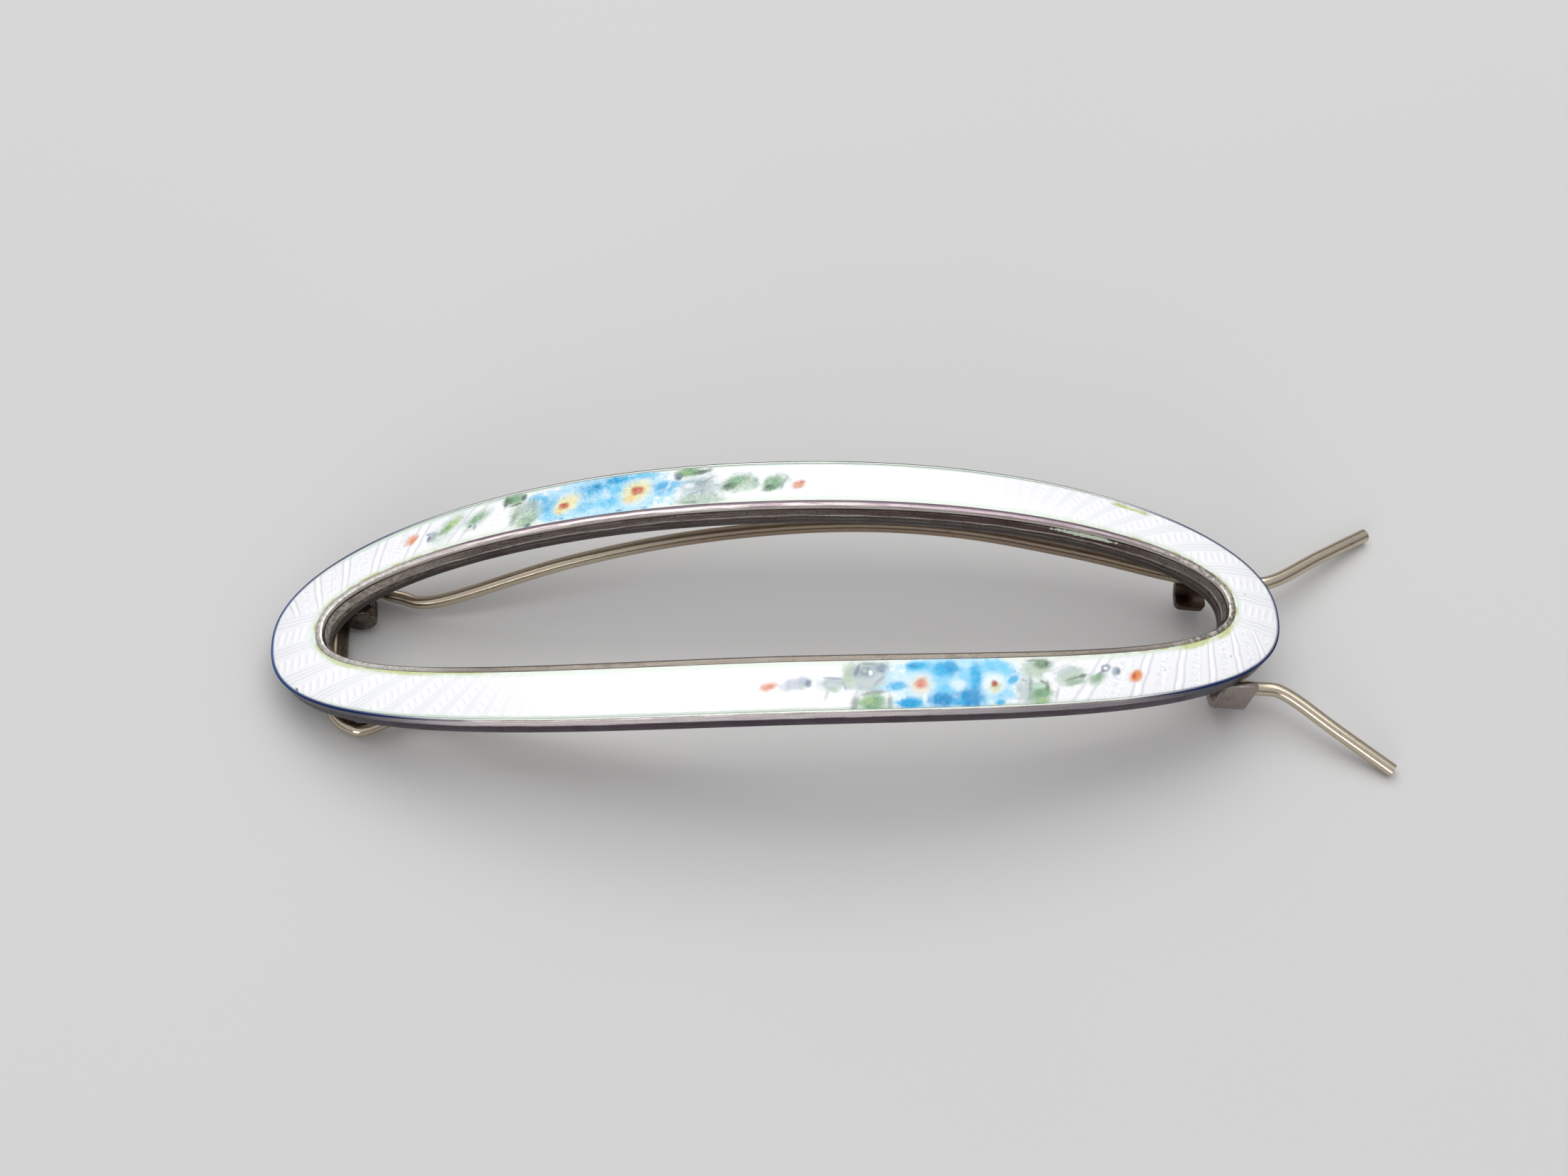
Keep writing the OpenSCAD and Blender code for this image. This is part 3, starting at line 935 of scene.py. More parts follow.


# The dabs were picked out in the photo. The lowest paint comes first.

FRONT_SPRAY = [
    # The left bud
    Dab(Tint.CORAL, -0.85, 1.55, 0.52, 0.28, 14), Dab(Tint.RUST, -0.75, 1.55, 0.3, 0.13, 14, 0.4),
    # The left leaves
    Dab(Tint.LAVENDER, 0.9, 1.7, 1.0, 0.38, 14, 0.8), Dab(Tint.MINT, 1.25, 1.45, 0.3, 0.14, 0, 0.6),
    Dab(Tint.SLATE, 1.65, 1.7, 0.22, 0.24, 0, 0.85), Dab(Tint.PALE_GREY, 3.15, 1.6, 0.9, 0.42, 0, 0.9),
    Dab(Tint.SLATE, 3.3, 2.0, 0.75, 0.09, -6, 0.5), Dab(Tint.SLATE, 3.85, 1.55, 0.09, 0.4, 14, 0.4),
    Dab(Tint.SAGE, 3.15, 1.25, 0.35, 0.2, 0, 0.8), Dab(Tint.GREY, 2.7, 0.95, 0.4, 0.12, 70, 0.5),
    Dab(Tint.SAGE, 4.45, 2.15, 0.62, 0.8, 0, 0.95), Dab(Tint.LEAF_GOLD, 4.4, 2.2, 0.34, 0.6, 0, 0.4),
    Dab(Tint.PALE_GREY, 5.6, 2.0, 1.25, 1.1, 0, 0.95), Dab(Tint.GREY, 5.3, 2.45, 0.85, 0.5, 0, 0.8),
    Dab(Tint.SLATE, 4.85, 2.55, 0.12, 0.45, -20, 0.8), Dab(Tint.SLATE, 5.3, 2.45, 0.3, 0.3, 0, 0.7),
    Dab(Tint.SAGE, 5.3, 2.5, 0.16, 0.16, 0, 0.9), Dab(Tint.WHITE, 5.65, 2.35, 0.12, 0.16, 0, 0.9),
    Dab(Tint.SLATE, 6.45, 2.6, 0.4, 0.34, 0, 0.75), Dab(Tint.LEAF_DARK, 5.6, 2.95, 0.5, 0.1, 0, 0.5),
    Dab(Tint.SLATE, 6.1, 1.8, 0.5, 0.12, 40, 0.4),
    Dab(Tint.OLIVE, 4.3, 0.35, 0.26, 0.55, -12, 0.65, 0.6),
    Dab(Tint.OLIVE, 5.6, 0.98, 0.95, 0.14, 8, 0.6, 0.6),
    Dab(Tint.OLIVE, 6.42, 0.4, 0.18, 0.5, 0, 0.6, 0.6), Dab(Tint.LEAF, 5.4, 0.38, 0.88, 0.56, 0, 1.0),
    Dab(Tint.LEAF_GOLD, 5.1, 0.5, 0.42, 0.24, 0, 0.45),
    # The wash and the left petals
    Dab(Tint.WASH, 10.7, 1.6, 4.25, 1.9, 0, 1.0, 0.16), Dab(Tint.WHITE, 7.25, 1.3, 0.5, 1.2, 0, 0.35),
    Dab(Tint.SKY, 8.9, 2.65, 0.95, 0.42, 0, 0.9), Dab(Tint.BLUE, 8.7, 2.72, 0.66, 0.25, 0, 0.85),
    Dab(Tint.DARK_BLUE, 8.5, 2.75, 0.22, 0.14, 0, 0.5), Dab(Tint.BLUE, 7.12, 1.41, 0.6, 0.27, 4, 0.85),
    Dab(Tint.SKY, 9.9, 1.95, 0.9, 0.5, 0, 0.75), Dab(Tint.BLUE, 10.5, 2.5, 0.85, 0.5, 0, 0.95),
    Dab(Tint.DEEP_BLUE, 10.9, 2.62, 0.42, 0.4, 0, 0.65), Dab(Tint.SKY, 9.93, 1.03, 0.7, 0.42, 0, 0.95),
    Dab(Tint.BLUE, 12.2, 1.9, 0.42, 1.0, 0, 0.95), Dab(Tint.SKY, 11.4, 1.7, 0.45, 0.7, 0, 0.7),
    Dab(Tint.DEEP_BLUE, 9.58, 0.43, 0.85, 0.45, 0, 1.0),
    Dab(Tint.DARK_BLUE, 9.85, 0.4, 0.35, 0.22, 0, 0.25),
    Dab(Tint.DEEP_BLUE, 11.37, 0.5, 0.85, 0.65, 0, 1.0),
    Dab(Tint.DARK_BLUE, 11.5, 0.62, 0.26, 0.3, 0, 0.2), Dab(Tint.BLUE, 10.5, 0.3, 0.4, 0.2, 0, 0.8),
    Dab(Tint.BLUE, 7.6, 0.28, 0.85, 0.34, 2, 1.0), Dab(Tint.DEEP_BLUE, 7.7, 0.26, 0.5, 0.2, 0, 0.55),
    # The left eye
    Dab(Tint.WHITE, 10.92, 1.41, 0.45, 0.36, 0, 0.65, 0.6),
    Dab(Tint.WHITE, 8.6, 1.5, 0.85, 0.8, 0, 0.5, 0.5), Dab(Tint.WHITE, 8.6, 0.7, 0.14, 0.5, 0, 0.7),
    Dab(Tint.CREAM, 8.6, 1.45, 0.62, 0.6, 0, 0.85, 0.5),
    Dab(Tint.ROSE, 8.62, 1.53, 0.36, 0.32, 0, 0.9, 0.5), Dab(Tint.RUST, 8.6, 1.45, 0.14, 0.12, 0, 0.4),
    # The right petals and their eye
    Dab(Tint.SKY, 13.7, 2.6, 0.9, 0.5, 0, 0.85), Dab(Tint.SKY, 14.5, 2.25, 0.55, 0.45, 0, 0.6),
    Dab(Tint.BLUE, 14.57, 1.68, 0.42, 0.25, 28, 0.85), Dab(Tint.SKY, 13.4, 0.55, 0.75, 0.42, 0, 0.55),
    Dab(Tint.BLUE, 13.05, 0.15, 0.34, 0.18, 0, 0.8),
    Dab(Tint.WHITE, 13.15, 1.4, 0.66, 0.72, 0, 0.75, 0.5),
    Dab(Tint.LIME_CREAM, 13.15, 1.2, 0.38, 0.4, 0, 0.85, 0.5),
    Dab(Tint.RED, 13.2, 1.41, 0.21, 0.21, 0, 0.95, 0.45),
    # The right leaves
    Dab(Tint.WHITE, 15.15, 2.27, 0.13, 0.13, 0, 0.9), Dab(Tint.SAGE, 16.4, 2.3, 1.0, 0.75, 0, 0.9),
    Dab(Tint.PALE_GREY, 14.95, 0.85, 0.6, 0.85, 0, 0.95),
    Dab(Tint.LEAF_DARK, 17.0, 2.62, 0.52, 0.34, 0, 0.85), Dab(Tint.OLIVE, 17.3, 2.7, 0.12, 0.3, 0, 0.6),
    Dab(Tint.OLIVE, 16.5, 2.95, 0.45, 0.1, 0, 0.5), Dab(Tint.WHITE, 16.9, 1.85, 0.35, 0.24, 0, 0.8),
    Dab(Tint.SLATE, 15.42, 1.25, 0.09, 0.46, 0, 0.6, 0.7),
    Dab(Tint.SLATE, 15.15, 1.55, 0.2, 0.07, -20, 0.5), Dab(Tint.GREY, 15.2, 0.55, 0.3, 0.4, 0, 0.6),
    Dab(Tint.LEAF, 15.75, 0.55, 0.68, 0.75, 0, 1.0), Dab(Tint.LEAF_GOLD, 15.65, 0.16, 0.4, 0.2, 0, 0.6),
    Dab(Tint.LEAF_DARK, 15.7, 0.7, 0.26, 0.26, 0, 0.3), Dab(Tint.MINT, 15.95, 1.15, 0.44, 0.2, 0, 0.9),
    Dab(Tint.OLIVE, 16.42, 1.05, 0.12, 0.4, 10, 0.6, 0.7),
    Dab(Tint.OLIVE, 16.3, 1.4, 0.2, 0.08, -40, 0.6),
    Dab(Tint.GREY, 16.75, 0.5, 0.12, 0.45, -10, 0.5, 0.8),
    Dab(Tint.SAGE, 18.35, 1.7, 0.92, 0.62, 8, 0.9), Dab(Tint.PALE_GREY, 18.2, 2.0, 0.6, 0.4, 12, 0.6),
    Dab(Tint.LEAF, 18.3, 1.22, 0.62, 0.18, 8, 0.65),
    Dab(Tint.OLIVE, 18.6, 1.58, 0.66, 0.1, 14, 0.55, 0.8),
    Dab(Tint.OLIVE, 19.1, 1.68, 0.22, 0.18, 0, 0.6),
    Dab(Tint.SLATE, 17.9, 2.35, 0.7, 0.07, 22, 0.2, 0.6),
    Dab(Tint.SAGE, 19.9, 1.42, 0.62, 0.42, 20, 0.85), Dab(Tint.LEAF, 19.95, 1.5, 0.4, 0.24, 20, 0.7),
    Dab(Tint.SLATE, 20.95, 2.11, 0.3, 0.27, 0, 0.9), Dab(Tint.WHITE, 20.95, 2.11, 0.15, 0.13, 0, 0.95),
    Dab(Tint.SLATE, 20.45, 1.85, 0.28, 0.08, 40, 0.6), Dab(Tint.GREY, 21.46, 1.84, 0.28, 0.3, 0, 0.95),
    Dab(Tint.SLATE, 21.6, 1.78, 0.13, 0.22, 0, 0.7),
    # The right bud
    Dab(Tint.CORAL, 22.5, 1.35, 0.46, 0.42, 0, 0.85, 0.5),
    Dab(Tint.ORANGE, 22.5, 1.36, 0.34, 0.34, 0, 0.9, 0.45),
    Dab(Tint.RUST, 22.4, 1.38, 0.14, 0.2, 0, 0.7, 0.5),
]

FRONT_WEAR = [
    Dab(Tint.DIRT, 29.6, 1.3, 0.08, 0.06, 0, 0.5), Dab(Tint.DIRT, 24.7, 1.5, 0.07, 0.06, 0, 0.5),
    Dab(Tint.STAIN, 28.4, 3.0, 1.3, 0.26, 0, 0.75), Dab(Tint.STAIN, 31.2, 3.05, 0.8, 0.3, 0, 0.75),
    Dab(Tint.STAIN, -25.2, 3.15, 2.4, 0.2, 0, 0.7), Dab(Tint.STAIN, -30.0, 3.1, 1.4, 0.22, 0, 0.6),
    Dab(Tint.STAIN, -21.0, 3.2, 1.4, 0.16, 0, 0.6), Dab(Tint.DIRT, -34.9, 0.03, 0.16, 0.12, 0, 0.9),
    Dab(Tint.DIRT, -30.6, 0.03, 0.14, 0.1, 0, 0.9),
]

BACK_SPRAY = [
    # The left bud
    Dab(Tint.CORAL, -1.65, 1.9, 0.5, 0.3, 28, 0.9), Dab(Tint.RUST, -1.75, 1.75, 0.3, 0.1, 28, 0.5),
    # The left leaves
    Dab(Tint.SAGE, -0.1, 1.7, 0.95, 0.62, 28, 0.9), Dab(Tint.LEAF, 0.0, 1.75, 0.7, 0.42, 24, 0.85),
    Dab(Tint.LEAF_DARK, 0.15, 2.15, 0.6, 0.18, 18, 0.9), Dab(Tint.OLIVE, 0.3, 2.0, 0.3, 0.1, 28, 0.7),
    Dab(Tint.SLATE, -0.8, 1.45, 0.26, 0.07, 60, 0.5), Dab(Tint.SLATE, -0.6, 1.9, 0.3, 0.06, 75, 0.5),
    Dab(Tint.GREY, 1.15, 1.7, 0.26, 0.36, 0, 0.85), Dab(Tint.SLATE, 1.1, 1.45, 0.24, 0.08, 40, 0.5),
    Dab(Tint.SAGE, 2.3, 1.6, 1.2, 0.7, 22, 0.95), Dab(Tint.MINT, 1.5, 2.0, 0.6, 0.36, 30, 0.8),
    Dab(Tint.LEAF, 2.4, 1.45, 0.75, 0.34, 22, 0.8), Dab(Tint.LEAF_DARK, 2.85, 1.9, 0.5, 0.26, 22, 0.9),
    Dab(Tint.OLIVE, 3.0, 1.8, 0.26, 0.16, 20, 0.7), Dab(Tint.PALE_GREY, 4.9, 2.0, 1.3, 1.3, 0, 0.95),
    Dab(Tint.SAGE, 4.9, 2.8, 1.5, 0.4, 0, 0.8), Dab(Tint.GREY, 4.7, 1.7, 0.55, 0.5, 0, 0.7),
    Dab(Tint.SLATE, 4.2, 1.2, 0.5, 0.07, 40, 0.5), Dab(Tint.SLATE, 5.0, 2.2, 0.6, 0.06, 20, 0.5),
    Dab(Tint.WHITE, 5.4, 1.6, 0.3, 0.22, 0, 0.7), Dab(Tint.LEAF_DARK, 5.6, 3.0, 0.6, 0.1, 0, 0.6),
    Dab(Tint.LEAF, 5.3, 0.4, 0.9, 0.42, 6, 1.0), Dab(Tint.LEAF_GOLD, 5.5, 0.4, 0.45, 0.2, 0, 0.5),
    Dab(Tint.OLIVE, 4.35, 0.42, 0.62, 0.2, 20, 0.8), Dab(Tint.INK, 5.96, 0.74, 0.26, 0.34, 0, 0.85),
    # The petals
    Dab(Tint.WASH, 10.9, 1.6, 4.7, 1.9, 0, 1.0, 0.16), Dab(Tint.BLUE, 7.05, 1.6, 0.9, 0.6, 12, 0.65),
    Dab(Tint.DEEP_BLUE, 7.2, 1.5, 0.42, 0.3, 12, 0.45),
    Dab(Tint.WHITE, 6.75, 1.5, 0.1, 0.6, -20, 0.45, 0.8),
    Dab(Tint.WHITE, 7.2, 1.75, 0.55, 0.1, 25, 0.3, 0.8), Dab(Tint.SKY, 8.1, 0.3, 0.85, 0.26, 0, 0.9),
    Dab(Tint.BLUE, 9.7, 0.4, 0.85, 0.38, 6, 0.85), Dab(Tint.DEEP_BLUE, 9.9, 0.36, 0.42, 0.24, 0, 0.55),
    Dab(Tint.SKY, 10.2, 1.25, 0.85, 0.5, 0, 0.85), Dab(Tint.BLUE, 11.75, 0.97, 1.05, 0.6, 14, 0.65),
    Dab(Tint.DEEP_BLUE, 11.3, 0.8, 0.45, 0.32, 0, 0.55),
    Dab(Tint.DARK_BLUE, 11.15, 0.7, 0.16, 0.12, 0, 0.5), Dab(Tint.BLUE, 12.5, 2.35, 0.66, 0.46, 20, 0.5),
    Dab(Tint.SKY, 10.95, 2.3, 0.85, 0.5, 0, 0.8), Dab(Tint.BLUE, 10.6, 2.1, 0.3, 0.3, 0, 0.4),
    Dab(Tint.WHITE, 10.75, 1.5, 0.2, 0.45, 20, 0.6, 0.6), Dab(Tint.SKY, 15.1, 0.85, 0.6, 0.42, 0, 0.9),
    Dab(Tint.BLUE, 14.8, 1.7, 0.85, 0.8, 0, 0.55), Dab(Tint.DEEP_BLUE, 15.0, 2.0, 0.3, 0.26, 0, 0.35),
    Dab(Tint.SKY, 14.9, 2.7, 0.8, 0.4, 0, 0.8), Dab(Tint.DARK_BLUE, 14.4, 3.05, 0.14, 0.1, 0, 0.6),
    Dab(Tint.DARK_BLUE, 10.48, 3.08, 0.2, 0.09, 0, 0.6),
    Dab(Tint.DARK_BLUE, 8.82, 3.1, 0.26, 0.08, 0, 0.5),
    # The right eye
    Dab(Tint.WHITE, 13.3, 1.65, 1.05, 0.7, 45, 0.5, 0.5),
    Dab(Tint.BUTTER, 13.5, 1.85, 0.85, 0.6, 45, 0.85, 0.6),
    Dab(Tint.GOLD, 14.15, 2.35, 0.3, 0.26, 0, 0.5, 0.6), Dab(Tint.RUST, 13.74, 2.0, 0.34, 0.28, 0, 0.95),
    Dab(Tint.RED, 13.7, 1.85, 0.24, 0.1, 0, 0.5),
    # The left eye
    Dab(Tint.WHITE, 8.7, 1.55, 1.1, 0.9, 45, 0.5, 0.5),
    Dab(Tint.BUTTER, 8.85, 1.65, 0.95, 0.8, 45, 0.85, 0.55),
    Dab(Tint.GOLD, 9.45, 2.25, 0.4, 0.32, 30, 0.6, 0.6), Dab(Tint.RUST, 8.77, 1.57, 0.42, 0.35, 0, 0.95),
    Dab(Tint.RED, 8.85, 1.45, 0.26, 0.12, 0, 0.4), Dab(Tint.ROSE, 8.65, 1.65, 0.16, 0.14, 0, 0.6),
    # The right leaves
    Dab(Tint.SAGE, 16.3, 2.0, 0.95, 1.2, 0, 0.92), Dab(Tint.LEAF, 16.5, 2.6, 0.6, 0.42, 20, 0.6),
    Dab(Tint.LEAF_DARK, 17.1, 2.1, 0.2, 0.62, -12, 0.55, 0.7),
    Dab(Tint.INK, 16.72, 3.05, 0.2, 0.14, 0, 0.8), Dab(Tint.LEAF, 16.29, 0.45, 0.62, 0.46, 0, 1.0),
    Dab(Tint.LEAF_DARK, 16.8, 0.5, 0.3, 0.42, 0, 0.8), Dab(Tint.OLIVE, 16.95, 0.6, 0.1, 0.42, 0, 0.7),
    Dab(Tint.OLIVE, 16.5, 0.98, 0.4, 0.12, 10, 0.7), Dab(Tint.INK, 15.7, 0.45, 0.18, 0.28, 0, 0.75),
    Dab(Tint.GREY, 15.5, 1.4, 0.14, 0.7, 0, 0.75), Dab(Tint.SLATE, 15.75, 1.3, 0.06, 0.5, 0, 0.6),
    Dab(Tint.PALE_GREY, 16.0, 1.4, 0.3, 0.5, 0, 0.7), Dab(Tint.SLATE, 16.2, 2.7, 0.5, 0.07, 30, 0.5),
    Dab(Tint.MINT, 18.66, 1.15, 0.5, 0.34, 30, 0.6), Dab(Tint.SAGE, 19.3, 1.42, 0.9, 0.56, 38, 0.8, 0.7),
    Dab(Tint.LEAF, 19.35, 1.4, 0.62, 0.25, 38, 0.85), Dab(Tint.OLIVE, 20.05, 1.92, 0.14, 0.12, 0, 0.85),
    Dab(Tint.SLATE, 19.75, 2.0, 0.12, 0.3, 0, 0.6), Dab(Tint.SAGE, 20.9, 1.2, 0.95, 0.6, 42, 0.7, 0.7),
    Dab(Tint.LEAF_GOLD, 21.0, 1.3, 0.78, 0.32, 42, 0.95),
    Dab(Tint.LEAF, 21.45, 1.55, 0.36, 0.2, 42, 0.75), Dab(Tint.OLIVE, 21.85, 1.72, 0.2, 0.07, 42, 0.5),
    Dab(Tint.GREY, 22.5, 1.8, 0.34, 0.46, 0, 0.9), Dab(Tint.INK, 22.9, 1.95, 0.12, 0.26, 0, 0.6),
    Dab(Tint.INK, 22.6, 1.45, 0.12, 0.1, 0, 0.6),
    # The right bud and the pale leaf before it
    Dab(Tint.CORAL, 23.7, 1.35, 0.48, 0.42, 40, 0.7),
    Dab(Tint.ORANGE, 23.7, 1.5, 0.34, 0.26, 40, 0.75, 0.6),
    Dab(Tint.CREAM, 23.75, 1.2, 0.2, 0.14, 50, 0.5, 0.6),
    Dab(Tint.MINT, 22.2, 2.2, 0.7, 0.5, 30, 0.4, 0.6),
]

BACK_WEAR = [
    Dab(Tint.STAIN, -22.4, 0.3, 0.8, 0.2, 0, 0.85), Dab(Tint.STAIN, -23.6, 0.28, 0.5, 0.2, 0, 0.8),
    Dab(Tint.DIRT, -33.2, 2.2, 0.08, 0.07, 0, 0.5), Dab(Tint.DIRT, -34.6, 2.8, 0.07, 0.07, 0, 0.5),
]


@dataclass(frozen=True)
class Spray:
    """The painting on one side: where its middle lies, its dabs, and how plainly it is cracked."""

    side: str
    middle: float
    crackled: float
    dabs: list[Dab]


@dataclass(frozen=True)
class EnamelFinish:
    """Translucent white enamel: engraved waves below, painted sprays, tinted borders."""

    start: float
    end: float
    around: float
    way: float
    name: str = "white_enamel"
    shear: float = 0.035
    true_across: float = 1.6
    strokes: float = 0.06
    fan_middle: Place = (-28.0, -6.5, 0.0)
    fan_pitch: float = 10.3
    ray_middle: Place = (-13.7, -0.4, 0.0)
    ray_pitch: float = 7.0
    lens_pitch: float = 0.5
    sway: float = 0.3
    ground: float = 0.24

    def _engraving(self, tree: Tree, point: Feed) -> Out:
        """Draws the waves cut in the silver below the enamel.

        Half of the ring carries pairs of lines that fan out, and half carries rows of
        short lens-shaped cuts between rows of fine lines. A half turn repeats it all.

        Args:
            tree: The material's tree.
            point: The place on the slide, in mm.

        Returns:
            The cut: above 0 it darkens, below 0 it shines.
        """
        cloud = tree.node("ShaderNodeTexNoise")
        tree.feed(cloud.inputs["Vector"], point)
        cloud.inputs["Scale"].default_value = 0.9
        cloud.inputs["Detail"].default_value = 3.0
        sway = tree.vector("MULTIPLY", tree.vector(
            "SUBTRACT", cloud.outputs[1], (0.5, 0.5, 0.5)), (self.sway, self.sway, 0.0))
        x, _, _ = tree.split(point)
        flip = tree.times(tree.math("SIGN", x), -1.0)
        half = tree.vector("MULTIPLY", tree.vector("ADD", point, sway), tree.combine(flip, flip))
        _, y, _ = tree.split(half)
        side = tree.rise(y, 1.2, 2.2)
        both = tree.plus(tree.times(self._fan(tree, half), side),
                         tree.times(self._rays(tree, half), tree.less(1.0, side)))
        fade = tree.rise(tree.math("ABSOLUTE", x), 9.0, 21.0)
        return tree.times(tree.plus(both, self.ground), fade)

    def _fan(self, tree: Tree, half: Feed) -> Out:
        """Draws pairs of lines that fan out, with feathered ground between them.

        Args:
            tree: The material's tree.
            half: The place on the left half, in mm.

        Returns:
            The cut.
        """
        x, y, _ = tree.split(tree.vector("SUBTRACT", half, self.fan_middle))
        swing = tree.math("DEGREES", tree.math("ARCTAN2", x, y))
        phase = tree.math("FRACT", tree.line(swing, 1 / self.fan_pitch, 0.36))
        pair = tree.plus(tree.ridge(phase, 0.39, 0.055), tree.ridge(phase, 0.61, 0.055))
        pair = tree.less(pair, tree.ridge(phase, 0.5, 0.075))
        pair = tree.less(pair, tree.times(tree.ridge(phase, 0.93, 0.05), 0.5))
        reach = tree.vector("LENGTH", tree.combine(x, y))
        turned = tree.combine(tree.times(swing, 0.5), tree.times(reach, 4.2))
        feather = tree.line(tree.noise(turned, 1.3, 3.0, 0.6), 4.0, -1.9)
        apart = tree.ridge(tree.math("FRACT", tree.plus(phase, 0.5)), 0.5, 0.34)
        return tree.plus(pair, tree.times(feather, apart))

    def _rays(self, tree: Tree, half: Feed) -> Out:
        """Draws rows of lens-shaped cuts between rows of fine lines, like rays.

        Args:
            tree: The material's tree.
            half: The place on the left half, in mm.

        Returns:
            The cut.
        """
        x, y, _ = tree.split(tree.vector("SUBTRACT", half, self.ray_middle))
        reach = tree.vector("LENGTH", tree.combine(x, y))
        spoke = tree.math("DEGREES", tree.math("ARCTAN2", y, tree.times(x, -1.0)))
        row = tree.math("FRACT", tree.line(spoke, 1 / self.ray_pitch, 0.02))
        step = tree.math("FRACT", tree.line(row, 0.7, tree.times(reach, 1 / self.lens_pitch)))
        lens_row = tree.times(tree.rise(row, 0.0, 0.2), tree.fall(row, 0.36, 0.56))
        lens = tree.times(lens_row, tree.ridge(step, 0.5, 0.3))
        brim = tree.times(lens_row, tree.ridge(step, 0.86, 0.16))
        fine = tree.math("FRACT", tree.times(row, 8.0))
        line_row = tree.times(tree.rise(row, 0.56, 0.62), tree.fall(row, 0.95, 1.0))
        waves = tree.times(line_row, tree.ridge(fine, 0.5, 0.35), 0.7)
        return tree.less(tree.line(brim, 0.6, waves), lens)

    def _paint(self, tree: Tree, effects: SharedEffects, under: Feed, point: Feed,
               spray: Spray) -> Out:
        """Paints one spray, dab by dab, in paint that fired patchy and cracked a little.

        Args:
            tree: The material's tree.
            effects: The shared node groups.
            under: The colour below.
            point: The place on the band, in mm from the middle of that side.
            spray: The spray.

        Returns:
            The colour with the spray on it.
        """
        along, across, _ = tree.split(point)
        lean = tree.line(across, -self.shear, 1.0 + self.true_across * self.shear)
        place = tree.combine(tree.times(along, lean), across)
        body = tree.noise(place, 2.0, 2.5, 0.55)
        ragged = tree.line(tree.noise(place, 1.9, 3.0, 0.6), 1.0, -0.5)
        painted = under
        for dab in spray.dabs:
            off = self.shear * (dab.across - self.true_across)
            painted = tree.group(
                effects.dab, Under=painted, Point=place,
                Middle=(dab.along * (1 - off), dab.across, 0.0), Turn=math.radians(dab.turn),
                Size=(dab.long, dab.wide, 1.0), Soft=dab.soft,
                Paint=linear(*dab.tint.value), Cover=dab.cover, Ragged=ragged)[0]
        there = tree.math("MULTIPLY", tree.vector("DISTANCE", painted, under), 2.5, clamp=True)
        strokes = tree.group(effects.fine_lines, Point=tree.turned(place, math.radians(-50.0)),
                             Stretch=(1.0, 2.2, 1.0), Scale=2.2)[0]
        thin = tree.line(tree.rise(body, 0.5, 0.74), 0.07,
                         tree.times(tree.rise(strokes, 0.5, 0.7), self.strokes))
        thick = tree.line(tree.fall(body, 0.28, 0.5), 0.3,
                          tree.times(tree.fall(strokes, 0.32, 0.5), self.strokes))
        crackle = tree.noise(place, 1.7, 2.2, 0.55)
        dark = tree.times(tree.ridge(crackle, 0.45, 0.03), spray.crackled)
        light = tree.times(tree.ridge(crackle, 0.56, 0.02), spray.crackled)
        for share, rgb, blend in (
                (thin, (240, 248, 252), "MIX"), (thick, (160, 204, 222), "MULTIPLY"),
                (dark, (104, 156, 172), "MULTIPLY"), (light, (240, 248, 250), "MIX")):
            painted = tree.mix(tree.times(there, share), painted, linear(*rgb), blend)
        return painted

    def make(self, effects: SharedEffects, spray: Spray) -> bpy.types.Material:
        """Builds the material of one side of the ring.

        Args:
            effects: The shared node groups.
            spray: The painting on that side.

        Returns:
            The material.
        """
        work = Paintwork(f"{self.name}_{spray.side}")
        tree, point = work.tree, work.level_point()
        band = tree.vector("SUBTRACT", work.band_point(self.way, self.around),
                           (self.way * spray.middle, self.start, 0.0))
        wide = self.end - self.start
        _, across, _ = tree.split(band)
        x, y, _ = tree.split(point)
        cut = self._engraving(tree, point)
        shallow = tree.math("MAXIMUM", cut, 0.0)
        raised = tree.math("MAXIMUM", tree.times(cut, -1.0), 0.0)

        cloud = tree.noise(point, 0.5, 4.0)
        layers = Layers(tree, tree.mix(cloud, linear(252, 252, 252), linear(247, 248, 250)))
        layers.lay((206, 207, 215), shallow, 0.55)
        layers.lay((255, 255, 255), raised, 0.9)

        place = tree.plus(across, tree.line(tree.noise(band, 0.6, 3.0), 0.24, -0.12))
        back = tree.rise(y, -0.5, 0.5)
        width = tree.line(tree.times(back, tree.fall(x, -26.0, -8.0)), 0.2, 0.06)
        bare = tree.plus(tree.rise(x, 12.0, 22.0), tree.fall(x, -31.0, -26.0))
        layers.lay((212, 226, 213), tree.fall(tree.less(place, width), 0.0, 0.1),
                   tree.line(bare, -0.85, 0.9))
        layers.lay((219, 230, 216), tree.rise(place, wide - 0.55, wide - 0.15), 0.7)
        rim = tree.rise(across, wide - 0.2, wide - 0.02)
        ends = tree.rise(tree.math("ABSOLUTE", x), 14.0, 26.0)
        layers.lay((188, 190, 128), rim, ends,
                   tree.rise(tree.noise(band, 0.9, 4.0), 0.38, 0.58), 0.85)

        colour = self._paint(tree, effects, layers.colour, band, spray)
        work.set(Base_Color=colour, Roughness=tree.line(cloud, 0.1, 0.3),
                 Specular_IOR_Level=0.0, Coat_Weight=0.6, Coat_Roughness=0.16, Coat_IOR=1.5)
        work.bump(tree.less(raised, shallow), 0.32, 0.03)
        return work.material


# Sub-assemblies

